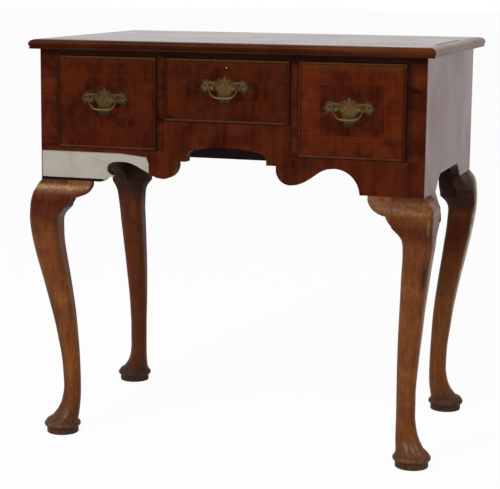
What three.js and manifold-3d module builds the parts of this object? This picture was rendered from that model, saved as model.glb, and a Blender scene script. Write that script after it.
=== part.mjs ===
// Lowboy: a walnut veneered side table with three drawers, a shaped apron, and cabriole legs on pad feet.
// Lengths are millimetres. +Z is up, the drawers face -Y, and the floor is at Z = 0.
// The origin lies under the middle of the table's outline box. Left and right are as seen from the front.
import * as THREE from 'three';
import { mergeVertices } from 'three/addons/utils/BufferGeometryUtils.js';
import Module from 'manifold-3d';

// Case
const caseWidth = 688;
const caseDepth = 425;
const caseHeight = 233;
const sideThickness = 16;
const frontThickness = 20;
const backThickness = 12;
const veneerThickness = 1.5;
const stileWidth = 31.7;
const dividerWidth = 13.7;
const topRailHeight = 12.5;
const middleOpeningWidth = 225.2;
const middleOpeningShare = 0.47;
const sideOpeningShare = 0.695;

// Top
const topThickness = 14;
const overhangFront = 16;
const overhangSide = 16;
const overhangBack = 34;
const lipWidth = 20;
const lipRoundWidth = 8.5;
const lipRoundHeight = 6.5;
const lipFilletHeight = 2.6;
const lipFilletDepth = 1.6;

// Legs
const legHeight = 464;
const kneeStandOut = 19.7;
const legInside = 50.3;
const backKneeShare = 0.5;
const kneeHollow = 18.1;
const ankleInset = 19;
const footInset = 18.5;
const footBaseRadius = 28.5;
const footRimRadius = 32;
const footHeight = 24.5;
const postShoulder = 0.6;

// Knee brackets
const bracketLength = 44.4;
const bracketDrop = 52;

// Front apron, with heights as shares of its depth under the side drawers
const archHalfWidth = 72;
const archEndWidth = 12;
const pendantInset = 115;
const ogeeInset = 190.5;
const archHeightShare = 1.19;
const archEndShare = 0.24;
const archCrownShare = 0.13;
const ledgeShare = 0.725;
const pendantRadiusShare = 0.444;
const pendantHeightShare = 0.18;
const ogeeRadiusShare = 0.76;
const ogeeHeightShare = 0.722;

// Lost veneer at the left end of the apron, where the board shows
const lossStraight = 150;
const lossEndInset = 141;
const lossHeightShare = 0.888;
const lossShoulderShare = 0.81;
const lossEndShare = 0.61;

// Side panels
const sideArchInset = 100;
const sideArchHeight = 26.5;
const sideArchRun = 36;

// Drawers
const drawerGap = 0.8;
const runningGap = 0.3;
const drawerFrontThickness = 18;
const drawerSideThickness = 8;
const drawerBackThickness = 8;
const drawerBottomThickness = 6;
const drawerRebate = 4;
const drawerSideDrop = 3;
const drawerBackDrop = 7;
const beadWidth = 4.6;
const beadStandOut = 2.2;
const beadDepth = 6.5;

// Runners and kickers
const runnerThickness = 14;
const runnerWidth = 14.5;
const guideHeight = 30;
const kickerWidth = 60;

// Handles
const plateWidth = 88;
const plateRise = 21;
const plateDrop = 29.5;
const plateThickness = 1.6;
const postSpacing = 38;
const pivotStandOff = 9;
const postHeadRadius = 3.5;
const postNeckRadius = 2.1;
const postCollarRadius = 3.9;
const postCollarThickness = 1.4;
const shankRadius = 1.9;
const nutRadius = 4.6;
const nutThickness = 2.6;
const pinHoleRadius = 1.7;
const pinRadius = 1.25;
const bailWidth = 52;
const bailDrop = 16.8;
const bailMiddleRadius = 2.1;
const holeClearance = 0.4;

// Lock
const lockWidth = 46;
const lockHeight = 30;
const lockThickness = 10;
const boltWidth = 16;
const boltThickness = 6;
const boltHeight = 22;
const boltTravel = 6;
const boltSink = 2.5;
const lockClearance = 0.3;
const keyholeRadius = 2.3;
const keyholeSlotWidth = 2.6;
const keyholeLength = 8;
const keyholeDrop = 12;

// Levels and faces
const halfWidth = caseWidth / 2;
const caseTop = legHeight + caseHeight;
const openingTop = caseTop - topRailHeight;
const sideOpeningBottom = openingTop - caseHeight * sideOpeningShare;
const middleOpeningBottom = openingTop - caseHeight * middleOpeningShare;
const apronDepth = sideOpeningBottom - legHeight;
const openingSide = halfWidth - stileWidth;
const partitionInner = middleOpeningWidth / 2;
const partitionOuter = partitionInner + dividerWidth;
const frontY = (Math.max(kneeStandOut, overhangFront) - caseDepth - overhangBack) / 2;
const frameBackY = frontY + frontThickness;
const backY = frontY + caseDepth;
const insideBackY = backY - backThickness;
const sideInner = halfWidth - sideThickness;
const sideRunnerTop = sideOpeningBottom + drawerGap - runningGap;
const middleRunnerTop = middleOpeningBottom + drawerGap - runningGap;
const sideRunnerBottom = sideRunnerTop - runnerThickness;
const kneeHeightShare = 0.905;

// Where each handle's middle sits from the middle of its drawer, across and up
const handleOffsets = {
  drawer_left: [-3.6, 4.6],
  drawer_middle: [-2.8, 5.2],
  drawer_right: [-4.8, 2.4],
};

// Where each foot stands away from true, across and along the case
const legs = [
  { name: 'front_left', side: -1, back: false, lean: [12, -6] },
  { name: 'front_right', side: 1, back: false, lean: [6, 1.9] },
  { name: 'back_left', side: -1, back: true, lean: [-6, 5.3] },
  { name: 'back_right', side: 1, back: true, lean: [-10.2, -0.4] },
];

// Leg outline: share of the leg's height, then share of the way from the knee to the ankle
const outerShares = [
  [0.065, 0.45], [0.095, 0.73], [0.13, 0.885], [0.185, 0.985], [0.26, 0.99], [0.39, 0.83], [0.52, 0.595],
  [0.65, 0.35], [0.755, 0.16], [0.855, 0.018], [kneeHeightShare, 0], [0.948, 0.07], [0.978, 0.265],
];
// Back of the leg: share of the leg's height, then share of the hollow behind the knee
const innerShares = [
  [0.065, 0.155], [0.11, 0.13], [0.16, 0.09], [0.22, 0.08], [0.3, 0.11], [0.43, 0.25], [0.5625, 0.52],
  [0.696, 0.81], [0.79, 1], [0.835, 0.93], [0.865, 0.62], [0.888, 0.22], [0.903, 0.09], [0.92, 0], [1, 0],
];
// Corner radius as a share of the section's half width: at the knee's arris on the front and the back
// legs, at a corner that a bracket is glued to, and at a corner that stands free
const arrisShares = [
  [0, 1], [0.2, 1], [0.3, 0.95], [0.43, 0.8], [0.56, 0.7], [0.7, 0.62], [0.8, 0.55], [0.9, 0.42],
  [0.96, 0.3], [1, 0.06],
];
const backArrisShares = [
  [0, 1], [0.2, 1], [0.3, 0.95], [0.43, 0.8], [0.56, 0.72], [0.7, 0.68], [0.77, 0.75], [0.83, 0.97],
  [0.93, 0.97], [0.953, 0.75], [0.975, 0.3], [1, 0.06],
];
const gluedShares = [
  [0, 1], [0.2, 1], [0.43, 0.8], [0.7, 0.62], [0.8, 0.52], [0.86, 0.5], [0.882, 0.36], [0.9, 0.1],
  [0.915, 0.04], [1, 0.04],
];
const freeShares = [
  [0, 1], [0.2, 1], [0.43, 0.8], [0.7, 0.62], [0.8, 0.55], [0.83, 0.62], [0.855, 0.8], [0.875, 0.93],
  [0.905, 0.95], [0.92, 0.72], [0.935, 0.48], [0.96, 0.3], [1, 0.04],
];
const fullestRoundShare = 0.98;
const legStationShares = [
  0.065, 0.08, 0.095, 0.112, 0.13, 0.16, 0.2, 0.26, 0.33, 0.4, 0.47, 0.54, 0.61, 0.68, 0.74, 0.79,
  0.83, 0.86, 0.885, 0.905, 0.925, 0.945, 0.962, 0.976, 0.989, 1,
];
// Pad foot: share of the foot's height, then share of the way from the base radius to the rim
const footShares = [
  [0, -0.3], [0.05, 0], [0.43, 0], [0.5, 0.4], [0.6, 0.82], [0.73, 1], [0.87, 0.86], [1, 0.12],
];
// Batwing plate, right half from the top: shares of half the width, and of the rise or drop
const plateShares = [
  [0, 1], [0.05, 0.9], [0.1, 0.78], [0.07, 0.68], [0.13, 0.6], [0.2, 0.68], [0.29, 0.66], [0.36, 0.55],
  [0.39, 0.4], [0.44, 0.32], [0.55, 0.36], [0.64, 0.4], [0.68, 0.5], [0.72, 0.62], [0.79, 0.56],
  [0.9, 0.46], [0.94, 0.3], [1, 0.12], [0.985, -0.06], [0.92, -0.1], [0.91, -0.2], [0.84, -0.27],
  [0.77, -0.33], [0.73, -0.24], [0.67, -0.17], [0.6, -0.21], [0.51, -0.22], [0.45, -0.27],
  [0.44, -0.42], [0.37, -0.55], [0.26, -0.66], [0.15, -0.72], [0.1, -0.76], [0.14, -0.83],
  [0.12, -0.93], [0.05, -0.99], [0, -1],
];
// Piercings in the plate: across, up or down, and radius as a share of half the width
const piercingShares = [[0, -0.85, 0.035], [0.58, 0.08, 0.04], [0.78, 0.14, 0.05], [0.16, 0.42, 0.035]];
// Bail from the pin to its middle: shares of half the width and of the drop
const bailShares = [
  [0.66, 0], [0.8, 0], [0.89, -0.03], [0.935, -0.14], [0.93, -0.3], [0.86, -0.52], [0.74, -0.74],
  [0.58, -0.91], [0.38, -0.985], [0.18, -1],
];
// Ragged edge of the left arch: out from the ogee's middle and up, as shares of the apron's depth
const raggedShares = [
  [0.69, 0], [0.635, 0.039], [0.526, 0.111], [0.381, 0.159], [0.265, 0.185], [0.265, 0.2], [0.367, 0.224],
  [0.458, 0.296], [0.492, 0.36], [0.492, 0.45], [0.44, 0.55], [0.3, 0.612], [0.13, 0.632], [-0.121, 0.629],
  [-0.299, 0.591], [-0.441, 0.532], [-0.617, 0.439], [-0.78, 0.36],
];
const bracketInnerShares = { foot: [0, 1], pull: [0.24, 0.81], cusp: [0.32, 0.6] };
const bracketOuterShares = { pull: [0.81, 0.46], tip: [1, 0.14] };
const bracketFlattenShare = 0.6;

const wasm = await Module();
wasm.setup();

// Materials
const walnut = new THREE.MeshStandardMaterial({ color: 0x5a2414, roughness: 0.35, metalness: 0 });
const legWalnut = new THREE.MeshStandardMaterial({ color: 0x78411f, roughness: 0.38, metalness: 0 });
const bareBoard = new THREE.MeshStandardMaterial({ color: 0xa59f94, roughness: 0.9, metalness: 0 });
const oak = new THREE.MeshStandardMaterial({ color: 0x8a6a45, roughness: 0.75, metalness: 0 });
const cockBead = new THREE.MeshStandardMaterial({ color: 0x5b4526, roughness: 0.45, metalness: 0 });
const brass = new THREE.MeshStandardMaterial({ color: 0x6a5a36, roughness: 0.45, metalness: 0.9 });
const iron = new THREE.MeshStandardMaterial({ color: 0x4a4642, roughness: 0.6, metalness: 0.8 });

const lowboy = new THREE.Group();

function add(name, geometry, material) {
  const mesh = new THREE.Mesh(geometry, material);
  mesh.name = name;
  lowboy.add(mesh);
}

// Shape helpers

function box(x, y, z) {
  const geometry = new THREE.BoxGeometry(x[1] - x[0], y[1] - y[0], z[1] - z[0]);
  geometry.translate((x[0] + x[1]) / 2, (y[0] + y[1]) / 2, (z[0] + z[1]) / 2);
  return geometry;
}

// A pair of limits on the left or right side, in rising order
function sided(side, near, far) {
  return side < 0 ? [-far, -near] : [near, far];
}

// A board whose outline lies in X and Z, from y0 back to y1
function facingBoard(shape, y0, y1) {
  const geometry = new THREE.ExtrudeGeometry(shape, { depth: y1 - y0, bevelEnabled: false });
  geometry.rotateX(Math.PI / 2);
  geometry.translate(0, y1, 0);
  return geometry;
}

// A board whose outline lies in Y and Z, from x0 to x1
function sideBoard(shape, x0, x1) {
  const geometry = new THREE.ExtrudeGeometry(shape, { depth: x1 - x0, bevelEnabled: false });
  geometry.applyMatrix4(new THREE.Matrix4().set(0, 0, 1, x0, 1, 0, 0, 0, 0, 1, 0, 0, 0, 0, 0, 1));
  return geometry;
}

function volumeOf(positions, index) {
  const corner = (i) => new THREE.Vector3().fromArray(positions, index[i] * 3);
  let sum = 0;
  for (let i = 0; i < index.length; i += 3) {
    sum += corner(i).dot(corner(i + 1).cross(corner(i + 2)));
  }
  return sum / 6;
}

// A skin over rings of points with equal counts, as a closed band or with a cap at each end
function loft(rings, { ring = false, cap = null } = {}) {
  const count = rings[0].length;
  const positions = rings.flat().flatMap((point) => point);
  const index = [];
  const spans = ring ? rings.length : rings.length - 1;
  for (let i = 0; i < spans; i += 1) {
    const next = (i + 1) % rings.length;
    for (let j = 0; j < count; j += 1) {
      const a = i * count + j;
      const b = i * count + ((j + 1) % count);
      const c = next * count + ((j + 1) % count);
      const d = next * count + j;
      index.push(a, b, c, a, c, d);
    }
  }
  if (!ring) {
    const outline = cap ?? rings[0].map(([x, y]) => [x, y]);
    const faces = THREE.ShapeUtils.triangulateShape(outline.map(([x, y]) => new THREE.Vector2(x, y)), []);
    const clockwise = THREE.ShapeUtils.area(outline.map(([x, y]) => ({ x, y }))) < 0;
    const last = (rings.length - 1) * count;
    for (const [a, b, c] of faces) {
      const [p, q] = clockwise ? [c, a] : [a, c];
      index.push(q, b, p);
      index.push(last + p, last + b, last + q);
    }
  }
  if (volumeOf(positions, index) < 0) {
    index.reverse();
  }
  const geometry = new THREE.BufferGeometry();
  geometry.setAttribute('position', new THREE.Float32BufferAttribute(positions, 3));
  geometry.setIndex(index);
  return geometry;
}

function solidOf(geometry) {
  const bare = geometry.clone();
  bare.deleteAttribute('normal');
  bare.deleteAttribute('uv');
  const merged = mergeVertices(bare);
  return new wasm.Manifold(new wasm.Mesh({
    numProp: 3,
    vertProperties: merged.attributes.position.array,
    triVerts: new Uint32Array(merged.index.array),
  }));
}

function geometryOf(solid) {
  const mesh = solid.getMesh();
  const geometry = new THREE.BufferGeometry();
  geometry.setAttribute('position', new THREE.BufferAttribute(mesh.vertProperties, 3));
  geometry.setIndex(new THREE.BufferAttribute(mesh.triVerts, 1));
  return geometry;
}

// A smooth function through the points that never overshoots them
function curveThrough(points) {
  const slopes = [];
  for (let i = 0; i < points.length - 1; i += 1) {
    slopes.push((points[i + 1][1] - points[i][1]) / (points[i + 1][0] - points[i][0]));
  }
  const tangents = points.map((_, i) => {
    const before = slopes[Math.max(i - 1, 0)];
    const after = slopes[Math.min(i, slopes.length - 1)];
    return before * after <= 0 ? 0 : (2 * before * after) / (before + after);
  });
  return (x) => {
    let i = 0;
    while (i < points.length - 2 && x > points[i + 1][0]) i += 1;
    const [x0, y0] = points[i];
    const [x1, y1] = points[i + 1];
    const span = x1 - x0;
    const t = Math.min(Math.max((x - x0) / span, 0), 1);
    const rise = t * t * (3 - 2 * t);
    const lift = t * (1 - t) * (1 - t) * span * tangents[i];
    const fall = t * t * (1 - t) * span * tangents[i + 1];
    return y0 + (y1 - y0) * rise + lift - fall;
  };
}

// Cabriole legs

const outerShareAt = curveThrough([...outerShares, [1, kneeStandOut / (kneeStandOut + ankleInset)]]);
const innerShareAt = curveThrough(innerShares);
const arrisShareAt = curveThrough(arrisShares);
const backArrisShareAt = curveThrough(backArrisShares);
const gluedShareAt = curveThrough(gluedShares);
const freeShareAt = curveThrough(freeShares);

// How far the leg's front lies inside the case's face, at a share of the leg's height
function legOuter(share) {
  return (kneeStandOut + ankleInset) * outerShareAt(share) - kneeStandOut;
}

function legInner(share) {
  return legInside - kneeHollow * innerShareAt(share);
}

// A square with rounded corners, from its outer insets across and along the case to its inner inset.
// The rounds are shares of its half width, at the arris and then on from there past the front or back.
function legSection([outerAcross, outerAlong], inner, rounds, steps = 4) {
  const half = (inner - Math.max(outerAcross, outerAlong)) / 2;
  const radii = rounds.map((round) => Math.min(round, fullestRoundShare) * half);
  const corners = [
    { at: [outerAcross, outerAlong], turn: [1, 1], radius: radii[0], start: Math.PI },
    { at: [inner, outerAlong], turn: [-1, 1], radius: radii[1], start: Math.PI * 1.5 },
    { at: [inner, inner], turn: [-1, -1], radius: radii[2], start: 0 },
    { at: [outerAcross, inner], turn: [1, -1], radius: radii[3], start: Math.PI * 0.5 },
  ];
  return corners.flatMap(({ at, turn, radius, start }) => {
    const centre = [at[0] + turn[0] * radius, at[1] + turn[1] * radius];
    return Array.from({ length: steps + 1 }, (_, i) => {
      const angle = start + (i / steps) * Math.PI * 0.5;
      return [centre[0] + radius * Math.cos(angle), centre[1] + radius * Math.sin(angle)];
    });
  });
}

// Insets from the case's corner turned into a point of the table
function cornerPoint(leg, across, along, z) {
  const y = leg.back ? backY - along : frontY + along;
  return [leg.side * (halfWidth - across), y, z];
}

function legGeometry(leg) {
  const leaned = (z) => Math.max(1 - z / (kneeHeightShare * legHeight), 0);
  const placed = (section, z) => section.map(([across, along]) => {
    const [x, y] = cornerPoint(leg, across, along, z);
    return [x + leg.lean[0] * leaned(z), y + leg.lean[1] * leaned(z), z];
  });
  const foot = footShares.map(([height, swell]) => {
    const radius = footBaseRadius + (footRimRadius - footBaseRadius) * swell;
    const near = footInset - radius;
    return placed(legSection([near, near], footInset + radius, [1, 1, 1, 1]), height * footHeight);
  });
  const shank = legStationShares.map((share) => {
    const outer = legOuter(share);
    const behind = outer < 0 ? outer * backKneeShare : outer;
    const free = freeShareAt(share);
    const glued = gluedShareAt(share);
    const section = leg.back
      ? legSection([outer, behind], legInner(share), [backArrisShareAt(share), free, free, glued])
      : legSection([outer, outer], legInner(share), [arrisShareAt(share), glued, free, glued]);
    return placed(section, share * legHeight);
  });
  const wallY = leg.back ? backThickness : frontThickness;
  const nearX = sideThickness + runningGap;
  const nearY = wallY + runningGap;
  const far = legInside - postShoulder;
  const y = leg.back ? [backY - far, backY - nearY] : [frontY + nearY, frontY + far];
  const post = box(
    sided(leg.side, halfWidth - far, halfWidth - nearX),
    y,
    [legHeight - runnerThickness, sideRunnerBottom],
  );
  return geometryOf(solidOf(loft([...foot, ...shank])).add(solidOf(post)));
}

for (const leg of legs) {
  add(`leg_${leg.name}`, legGeometry(leg), legWalnut);
}

// Knee brackets

// Runs of a bracket from the leg to its tip: distance from the leg, and depth below the case
function bracketOutline() {
  const at = ([along, down]) => new THREE.Vector2(along * bracketLength, down * bracketDrop);
  const { foot, pull, cusp } = bracketInnerShares;
  const inner = new THREE.QuadraticBezierCurve(at(foot), at(pull), at(cusp));
  const outer = new THREE.QuadraticBezierCurve(at(cusp), at(bracketOuterShares.pull), at(bracketOuterShares.tip));
  return [...inner.getPoints(4), ...outer.getPoints(6).slice(1)];
}

// place turns a distance from the leg, a depth behind the case's face and a height into a point
function bracketGeometry(thickness, place) {
  const faceSteps = 6;
  const sections = bracketOutline().map(({ x: along, y: drop }) => {
    const swell = 1 - bracketFlattenShare * (along / bracketLength) ** 1.5;
    const section = Array.from({ length: faceSteps + 1 }, (_, i) => {
      const down = (i / faceSteps) ** 1.6 * drop;
      return [legOuter(1 - down / legHeight) * swell, legHeight - down];
    });
    section.push([thickness, legHeight - drop], [thickness, legHeight]);
    return { along, section };
  });
  const rings = sections.map(({ along, section }) => section.map(([depth, z]) => place(along, depth, z)));
  return loft(rings, { cap: sections[0].section });
}

for (const leg of legs) {
  const start = legInside + runningGap;
  if (!leg.back) {
    const underApron = (along, depth, z) => cornerPoint(leg, start + along, depth, z);
    add(`knee_bracket_${leg.name}_apron`, bracketGeometry(frontThickness, underApron), legWalnut);
  }
  const underSide = (along, depth, z) => cornerPoint(leg, depth, start + along, z);
  add(`knee_bracket_${leg.name}_side`, bracketGeometry(sideThickness, underSide), legWalnut);
}

// Front apron

// Lower edge of the apron from its middle to the right end, above the bottom of the case
function apronEdge() {
  const edge = new THREE.Path();
  const archEnd = archHalfWidth - archEndWidth;
  const archHeight = apronDepth * archHeightShare;
  const archEndHeight = apronDepth * archEndShare;
  const archShoulder = archHeight - apronDepth * archCrownShare;
  const ledgeHeight = apronDepth * ledgeShare;
  const pendantRadius = apronDepth * pendantRadiusShare;
  const pendantHeight = apronDepth * pendantHeightShare;
  const ogeeRadius = apronDepth * ogeeRadiusShare;
  const ogeeHeight = apronDepth * ogeeHeightShare;
  edge.moveTo(0, archHeight);
  edge.quadraticCurveTo(archEnd / 2, archHeight, archEnd, archShoulder);
  edge.absellipse(archEnd, archShoulder - archEndHeight, archEndWidth, archEndHeight, Math.PI / 2, 0, true, 0);
  edge.lineTo(archHalfWidth, ledgeHeight);
  const pendantMiddle = pendantHeight + pendantRadius;
  edge.lineTo(pendantInset - pendantRadius, ledgeHeight);
  edge.lineTo(pendantInset - pendantRadius, pendantMiddle);
  edge.absarc(pendantInset, pendantMiddle, pendantRadius, Math.PI, Math.PI * 1.5, false);
  const run = ogeeInset - pendantInset;
  edge.bezierCurveTo(
    pendantInset + run * 0.42, pendantHeight, ogeeInset - run * 0.45, ogeeHeight, ogeeInset, ogeeHeight,
  );
  const sweep = Math.asin((ogeeRadius - ogeeHeight) / ogeeRadius);
  edge.absarc(ogeeInset, ogeeHeight - ogeeRadius, ogeeRadius, Math.PI / 2, sweep, true);
  edge.lineTo(halfWidth, 0);
  return distinct(edge.getPoints(8)).map(({ x, y }) => [x, y + legHeight]);
}

function distinct(points) {
  return points.filter((point, i) => i === 0 || point.distanceTo(points[i - 1]) > Number.EPSILON * caseWidth * 4);
}

function mirrored(points) {
  return points.map(([x, z]) => [-x, z]).reverse();
}

function shapeOf(points) {
  return new THREE.Shape(points.map(([x, z]) => new THREE.Vector2(x, z)));
}

const apronTop = [
  [halfWidth, sideOpeningBottom], [partitionInner, sideOpeningBottom],
  [partitionInner, middleOpeningBottom], [-partitionInner, middleOpeningBottom],
  [-partitionInner, sideOpeningBottom], [-halfWidth, sideOpeningBottom],
];

// The apron's left edge from the end of the lost veneer to the middle
function keptEdge(edge) {
  const left = mirrored(edge).slice(0, -1);
  const first = left.findIndex(([x]) => x > -lossEndInset);
  const [x0, z0] = left[first - 1];
  const [x1, z1] = left[first];
  const end = z0 + ((z1 - z0) * (-lossEndInset - x0)) / (x1 - x0);
  return [[-lossEndInset, end], ...left.slice(first)];
}

// The left arch is ragged where its veneer is lost
function apronBoard() {
  const edge = apronEdge();
  const ragged = raggedShares.map(([out, up]) => [
    -ogeeInset - out * apronDepth,
    legHeight + up * apronDepth,
  ]);
  const outline = [[-halfWidth, legHeight], ...ragged, ...keptEdge(edge), ...edge, ...apronTop];
  return facingBoard(shapeOf(outline), frontY + veneerThickness, frameBackY);
}

// The veneer stops at the break: a strip is left under the left drawer, and the rest starts at the ogee
function apronVeneer() {
  const edge = apronEdge();
  const breakLine = [
    [-halfWidth, legHeight + apronDepth * lossHeightShare],
    [-halfWidth + lossStraight, legHeight + apronDepth * lossHeightShare],
    [-lossEndInset - beadWidth, legHeight + apronDepth * lossShoulderShare],
    [-lossEndInset, legHeight + apronDepth * lossEndShare],
  ];
  const outline = [...breakLine, ...keptEdge(edge), ...edge, ...apronTop];
  return facingBoard(shapeOf(outline), frontY, frontY + veneerThickness);
}

add('apron_board', apronBoard(), bareBoard);
add('apron_veneer', apronVeneer(), walnut);

// Case

function sidePanelShape() {
  const shape = new THREE.Shape();
  const archTop = legHeight + sideArchHeight;
  const front = frontY + sideArchInset;
  const back = backY - sideArchInset;
  const pull = sideArchRun * 0.45;
  const lift = sideArchHeight * 0.74;
  shape.moveTo(frameBackY, legHeight);
  shape.lineTo(front, legHeight);
  shape.quadraticCurveTo(front + pull, legHeight + lift, front + sideArchRun, archTop);
  shape.lineTo(back - sideArchRun, archTop);
  shape.quadraticCurveTo(back - pull, legHeight + lift, back, legHeight);
  shape.lineTo(backY, legHeight);
  shape.lineTo(backY, caseTop);
  shape.lineTo(frameBackY, caseTop);
  return shape;
}

function topRail() {
  const slack = boltTravel / 4;
  const mortiseY = lockFrontY + (lockThickness - boltThickness) / 2;
  const mortise = box(
    [-boltWidth / 2 - slack, boltWidth / 2 + slack],
    [mortiseY - slack, mortiseY + boltThickness + slack],
    [openingTop - slack, openingTop + boltTravel + slack],
  );
  const rail = box([-openingSide, openingSide], [frontY, frameBackY], [openingTop, caseTop]);
  return geometryOf(solidOf(rail).subtract(solidOf(mortise)));
}

const drawerBackY = insideBackY - runningGap;
const lockFrontY = frontY + drawerFrontThickness - lockThickness;

add('back_board', box([-sideInner, sideInner], [insideBackY, backY], [legHeight, caseTop]), oak);
add('top_rail', topRail(), walnut);

for (const side of [-1, 1]) {
  const hand = side < 0 ? 'left' : 'right';
  const inside = [frameBackY, insideBackY];
  const panelX = sided(side, sideInner, halfWidth);
  add(`side_panel_${hand}`, sideBoard(sidePanelShape(), panelX[0], panelX[1]), walnut);
  add(
    `corner_stile_${hand}`,
    box(sided(side, openingSide, halfWidth), [frontY, frameBackY], [sideOpeningBottom, caseTop]),
    walnut,
  );
  add(
    `divider_${hand}`,
    box(sided(side, partitionInner, partitionOuter), [frontY, frameBackY], [sideOpeningBottom, openingTop]),
    walnut,
  );
  add(
    `partition_${hand}`,
    box(sided(side, partitionInner, partitionOuter), inside, [sideRunnerBottom, openingTop]),
    oak,
  );
  const outerRunner = [
    [openingSide - runnerWidth, sideRunnerBottom], [sideInner, sideRunnerBottom],
    [sideInner, sideRunnerTop + guideHeight], [openingSide, sideRunnerTop + guideHeight],
    [openingSide, sideRunnerTop], [openingSide - runnerWidth, sideRunnerTop],
  ];
  const outline = side < 0 ? mirrored(outerRunner) : outerRunner;
  add(`outer_runner_${hand}`, facingBoard(shapeOf(outline), inside[0], inside[1]), oak);
  add(
    `inner_runner_${hand}`,
    box(sided(side, partitionOuter, partitionOuter + runnerWidth), inside, [sideRunnerBottom, sideRunnerTop]),
    oak,
  );
  add(
    `middle_runner_${hand}`,
    box(
      sided(side, partitionInner - runnerWidth, partitionInner),
      inside,
      [middleRunnerTop - runnerThickness, middleRunnerTop],
    ),
    oak,
  );
  const kickerMiddle = (partitionInner + partitionOuter) / 2;
  add(
    `kicker_${hand}`,
    box(
      sided(side, kickerMiddle - kickerWidth / 2, kickerMiddle + kickerWidth / 2),
      inside,
      [openingTop, caseTop],
    ),
    oak,
  );
}

// Top

const topHalf = halfWidth + overhangSide;
const topFrontY = frontY - overhangFront;
const topBackY = backY + overhangBack;
const tableTop = caseTop + topThickness;

// Section of the moulded lip: distance in from the outer edge, and height
function lipSection() {
  const edge = new THREE.Path();
  edge.moveTo(lipWidth, caseTop);
  edge.lineTo(lipFilletDepth, caseTop);
  edge.lineTo(lipFilletDepth, caseTop + lipFilletHeight);
  edge.lineTo(0, caseTop + lipFilletHeight);
  edge.lineTo(0, tableTop - lipRoundHeight);
  edge.absellipse(
    lipRoundWidth, tableTop - lipRoundHeight, lipRoundWidth, lipRoundHeight, Math.PI, Math.PI / 2, true, 0,
  );
  edge.lineTo(lipWidth, tableTop);
  return distinct(edge.getPoints(6)).map(({ x, y }) => [x, y]);
}

const lip = lipSection();
const frontLip = [-1, 1].map((side) => lip.map(([inset, z]) => [side * (topHalf - inset), topFrontY + inset, z]));
add('top_lip_front', loft(frontLip, { cap: lip }), walnut);
for (const side of [-1, 1]) {
  const start = lip.map(([inset, z]) => [side * (topHalf - inset), topFrontY + inset, z]);
  const end = lip.map(([inset, z]) => [side * (topHalf - inset), topBackY, z]);
  add(`top_lip_${side < 0 ? 'left' : 'right'}`, loft([start, end], { cap: lip }), walnut);
}
add(
  'top_board',
  box([lipWidth - topHalf, topHalf - lipWidth], [topFrontY + lipWidth, topBackY], [caseTop, tableTop]),
  walnut,
);

// Drawers

function rectangle([x0, x1], [z0, z1]) {
  return shapeOf([[x0, z0], [x1, z0], [x1, z1], [x0, z1]]);
}

function circlePath(x, z, radius, sides) {
  const points = Array.from({ length: sides }, (_, i) => {
    const angle = (i / sides) * Math.PI * 2;
    return new THREE.Vector2(x + radius * Math.cos(angle), z + radius * Math.sin(angle));
  });
  return new THREE.Path(points);
}

// Round top over a narrow slot, as a path with its middle on X = 0
function keyholePath(topZ) {
  const centre = topZ - keyholeRadius;
  const half = Math.asin(keyholeSlotWidth / 2 / keyholeRadius);
  const steps = 8;
  const points = Array.from({ length: steps + 1 }, (_, i) => {
    const angle = half - Math.PI / 2 + (i / steps) * (Math.PI * 2 - half * 2);
    return new THREE.Vector2(keyholeRadius * Math.cos(angle), centre + keyholeRadius * Math.sin(angle));
  });
  points.push(new THREE.Vector2(-keyholeSlotWidth / 2, topZ - keyholeLength));
  points.push(new THREE.Vector2(keyholeSlotWidth / 2, topZ - keyholeLength));
  return new THREE.Path(points);
}

// A half round strip along the edge of the front, mitred at its corners
function beadGeometry(x, z) {
  const steps = 5;
  const section = Array.from({ length: steps + 1 }, (_, i) => {
    const angle = (i / steps) * Math.PI;
    const inset = (beadWidth / 2) * (1 - Math.cos(angle));
    return [inset, frontY - beadStandOut * Math.sin(angle)];
  });
  section.push([beadWidth, frontY + beadDepth], [0, frontY + beadDepth]);
  const corners = [[0, 0], [1, 0], [1, 1], [0, 1]];
  const rings = corners.map(([right, up]) => section.map(([inset, y]) => [
    right ? x[1] - inset : x[0] + inset,
    y,
    up ? z[1] - inset : z[0] + inset,
  ]));
  return loft(rings, { ring: true });
}

function drawerFront(drawer) {
  const { x, z, pivotX, pivotZ } = drawer;
  const holes = [-1, 1].map((side) => (
    circlePath(pivotX + (side * postSpacing) / 2, pivotZ, shankRadius + holeClearance, 10)
  ));
  if (drawer.keyed) {
    holes.push(keyholePath(z[1] - keyholeDrop));
  }
  const face = rectangle([x[0] + beadWidth, x[1] - beadWidth], [z[0] + beadWidth, z[1] - beadWidth]);
  const rear = rectangle(x, z);
  face.holes = holes;
  rear.holes = holes;
  const lap = (drawerFrontThickness - beadDepth) / 2;
  const facePart = facingBoard(face, frontY, frontY + beadDepth + lap);
  const rearPart = facingBoard(rear, frontY + beadDepth, frontY + drawerFrontThickness);
  let front = solidOf(facePart).add(solidOf(rearPart));
  if (drawer.keyed) {
    front = front.subtract(solidOf(box(
      [-lockWidth / 2 - lockClearance, lockWidth / 2 + lockClearance],
      [lockFrontY - lockClearance, frontY + drawerFrontThickness + lockClearance],
      [z[1] - lockHeight - lockClearance, z[1] + lockClearance],
    )));
  }
  return geometryOf(front);
}

// A side board with a rebate for the bottom along its lower inner edge
function drawerSide(drawer, side) {
  const { x, z } = drawer;
  const outer = side < 0 ? x[0] : x[1];
  const top = z[1] - drawerSideDrop;
  const rebateTop = z[0] + drawerBottomThickness;
  const outline = [
    [0, z[0]], [drawerSideThickness - drawerRebate, z[0]], [drawerSideThickness - drawerRebate, rebateTop],
    [drawerSideThickness, rebateTop], [drawerSideThickness, top], [0, top],
  ].map(([inset, height]) => [outer - side * inset, height]);
  return facingBoard(shapeOf(side < 0 ? outline : outline.reverse()), frontY + drawerFrontThickness, drawerBackY);
}

// Handles

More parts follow.
